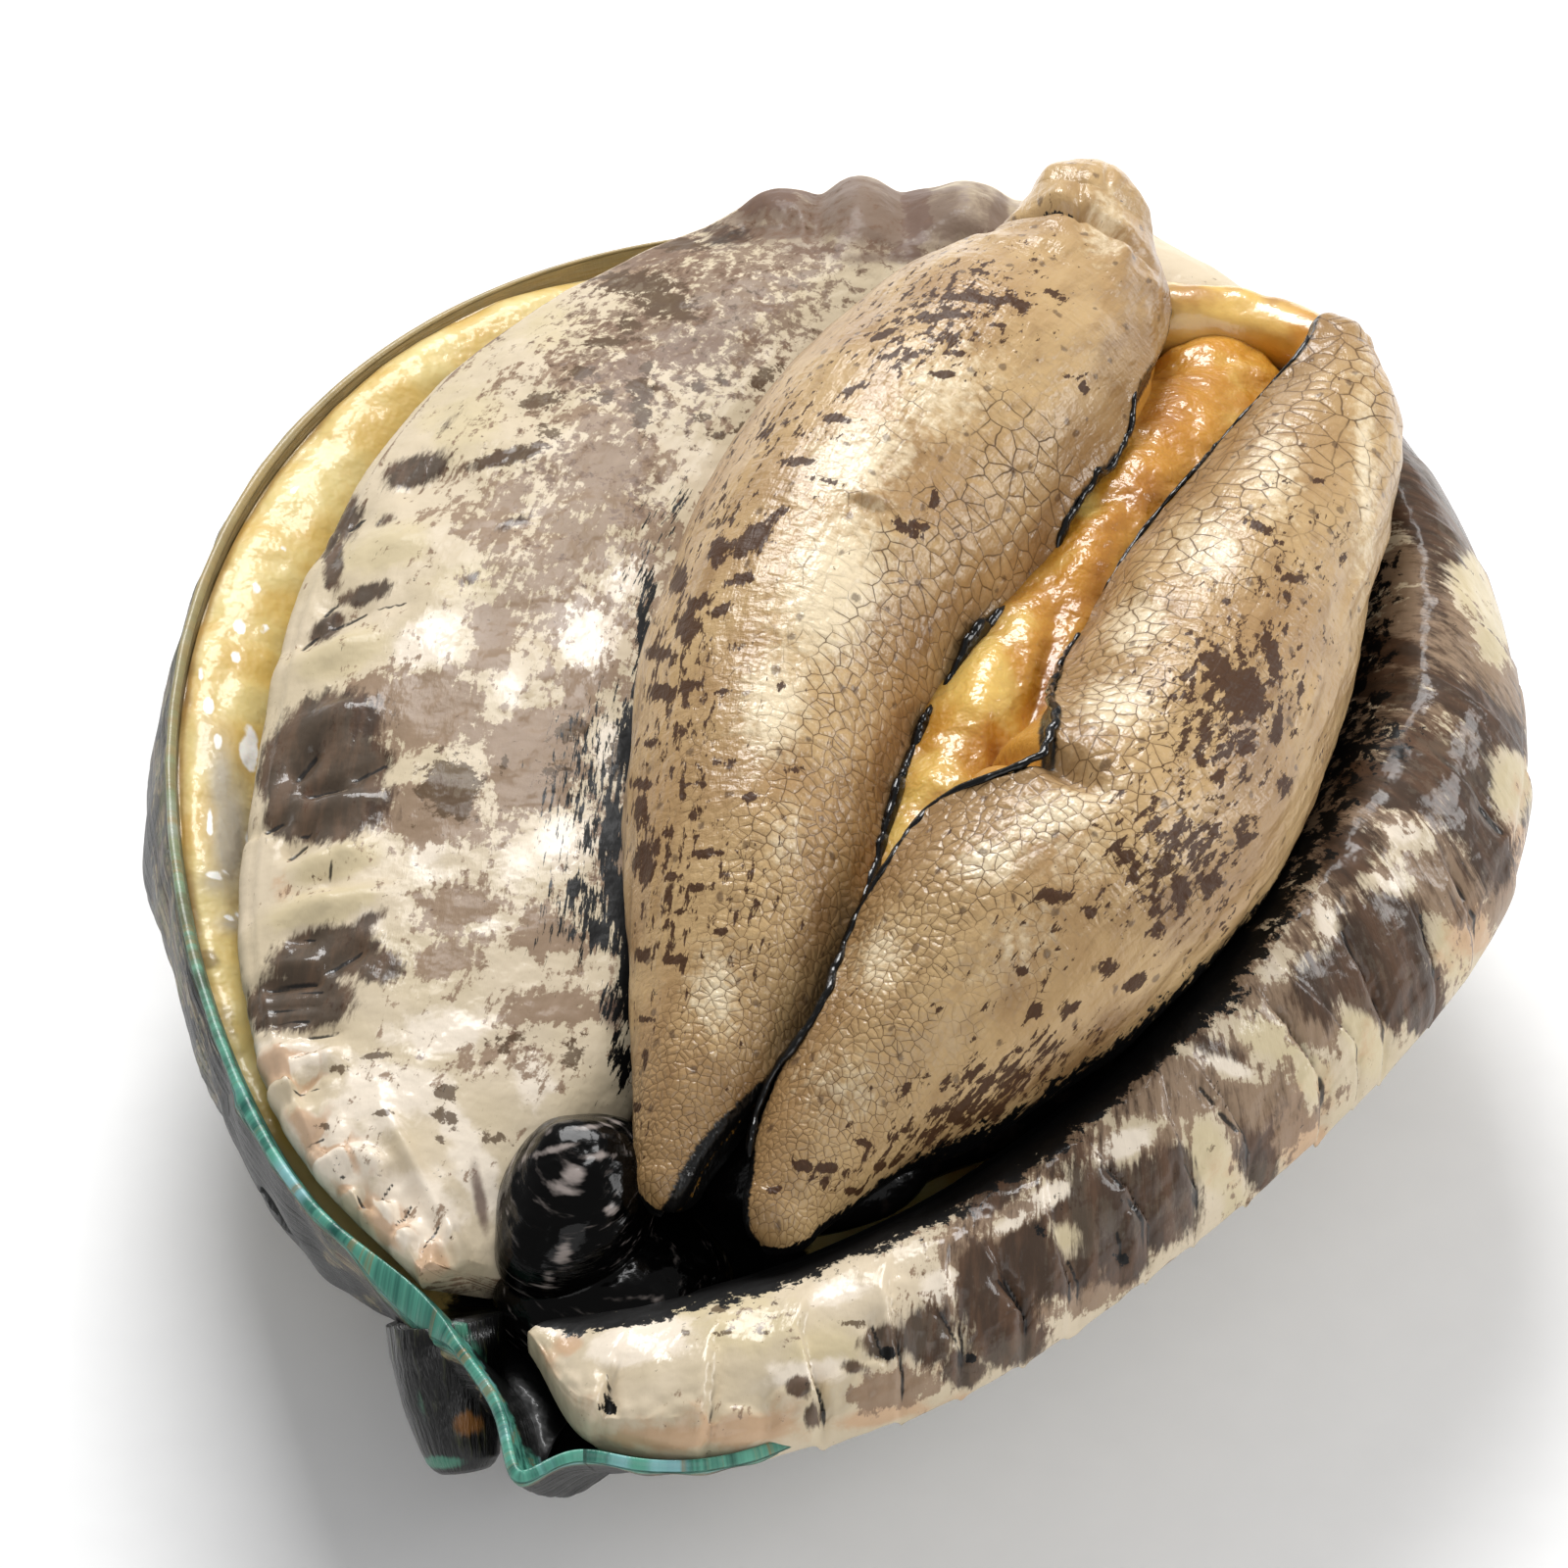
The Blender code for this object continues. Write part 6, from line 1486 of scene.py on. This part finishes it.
def buildSole():
    s = soleLook
    rings, place, turn, size = tubeRings(soleRows, s["along"], s["around"], flat=s["flat"])
    normal = outwards(rings)
    seen = photoPlace(rings)
    border = cellNoise(rings * (1, 0.7, 1), s["pebbleSize"], 91)[1]
    lumps = (s["pebbles"] * (np.minimum(border, 0.6) - 0.3)
             + softNoise(rings, 2.0, 93, 2) * s["lumps"])
    small = cellNoise(rings, 0.9, 95)[0]
    lumps += s["grains"] * (0.5 - np.minimum(small, 1))
    placed = sum(ovals(seen, soleLumps))
    sides = np.abs(np.cos(turn))[None] ** 2
    height = (lumps * (1 - s["calmSides"] * sides) + placed - s["sink"] - s["sideSink"] * sides)
    rings = rings + normal * height[..., None]
    f = Finish("soleFlesh", Roughness=0.4, Coat_Weight=0.45, Coat_Roughness=0.03,
               Subsurface_Weight=0.35, Subsurface_Scale=0.003)
    spot = f.place("spot")
    deep = f.sum(f.layer("deep"), f.times(f.noise(spot, 0.28, 3.0), 0.8))
    colour = f.mix(f.ramp(deep, 0.25, 0.60), s["pale"], s["yellow"])
    colour = f.mix(f.ramp(deep, 0.60, 1.1), colour, s["orange"])
    bump = f.relief(f.noise(f.swirl(spot, 0.5, 1.0), 0.55, 3.0, 0.5), 0.45)
    finish = f.done(colour, f.relief(f.noise(spot, 1.5, 2.0), 0.09, bump))
    # hollows are deeper in colour than the lumps
    deepLayer = (0.22 - 0.35 * lumps + 0.5 * strongest(seen, soleDeep)
                 - 0.5 * strongest(seen, solePale))
    makePiece("soleFlesh", rings, finish, "sole", ["sole"], spot=rings, deep=deepLayer)


# the head is one skin round two ovals, each given by its middle and half sizes, seen from heart
headLook = {"along": 120, "around": 160, "snout": ((-2.6, -33.4, 24.4), (4.5, 6.2, 5.2)),
            "neck": ((0.2, -36.2, 21.8), (6.4, 6.6, 3.4)), "heart": (-1.5, -34.6, 23.0),
            "ridges": 5.0, "ridgeBend": 2.5, "ridgeDepth": 0.05, "lumpSize": 3.6,
            "lumpDepth": 0.45, "black": tint(.012, .011, .011), "grey": tint(.05, .04, .04),
            "pale": tint(.60, .56, .54)}
# pale streaks on the head's top and left edge, in photo pixels: its pale edge line and painted highlights
headEdgeAndHighlightStreaks = ((600, 1105, 46, 5, -20, .9), (555, 1135, 40, 5, -35, .9),
               (524, 1175, 30, 5, -65, .8), (590, 1130, 50, 4, -12, .6), (600, 1150, 46, 4, -8, .6),
               (575, 1170, 40, 4, -15, .5), (580, 1203, 16, 18, 20, .7), (622, 1235, 9, 9, 0, .6),
               (575, 1280, 9, 16, 20, .6), (560, 1305, 9, 9, 0, .5), (610, 1180, 30, 4, -5, .4))


def buildHead():
    s = headLook
    along, around = s["along"], s["around"]
    tilt = np.linspace(0.02, pi - 0.02, along)[:, None]
    turn = (np.arange(around) * fullTurn / around)[None]
    ray = np.stack([np.sin(tilt) * np.cos(turn), np.sin(tilt) * np.sin(turn),
                    np.cos(tilt) * np.ones_like(turn)], -1)
    heart = np.array(s["heart"])
    reach = 0.0
    for centre, half in (s["snout"], s["neck"]):
        start = (heart - centre) / np.array(half)
        way = ray / np.array(half)
        a = (way ** 2).sum(-1)
        b = (way * start).sum(-1)
        c = (start ** 2).sum() - 1
        reach = np.maximum(reach, (-b + np.sqrt(b * b - a * c)) / a)
    rings = heart + ray * reach[..., None]
    rise = rings[..., 2]
    wave = rise * s["ridges"] + s["ridgeBend"] * softNoise(rings, 2.4, 101)
    ridges = np.sin(wave) * s["ridgeDepth"] * ease(rise, 26, 28)
    lumps = softNoise(rings, s["lumpSize"], 103) * s["lumpDepth"]
    rings = rings + ray * (ridges + lumps)[..., None]
    f = Finish("headBlack", Roughness=0.16, Coat_Weight=0.08, Coat_Roughness=0.03,
               Specular_IOR_Level=0.10)
    spot = f.place("spot")
    fine = f.noise(f.place("spot", (0.5, 0.8, 3.0)), 1.6, 3.0)
    colour = f.mix(f.ramp(fine, 0.6, 0.85), s["black"], s["grey"])
    strand = f.noise(f.place("spot", (0.4, 0.6, 3.0)), 1.2, 3.0)
    # the pale streaks: an edge line and painted highlights
    streak = f.times(f.ragged("pale", strand, 1.6, 0.4, 0.25), 0.9)
    colour = f.mix(streak, colour, s["pale"])
    bump = f.relief(f.noise(f.swirl(spot, 0.4, 1.0), 0.35, 2.0), 0.5)
    facing = ease(outwards(rings) @ lookBack(), 0.0, 0.3)
    makePiece("headFlesh", rings, f.done(colour, f.relief(fine, 0.04, bump)), "head", ["head"],
              spot=rings, pale=strongest(photoPlace(rings), headEdgeAndHighlightStreaks) * facing)


buildShell()
buildChimney()
buildMantle()
buildSkirt()
buildFoot()
buildSole()
buildHead()
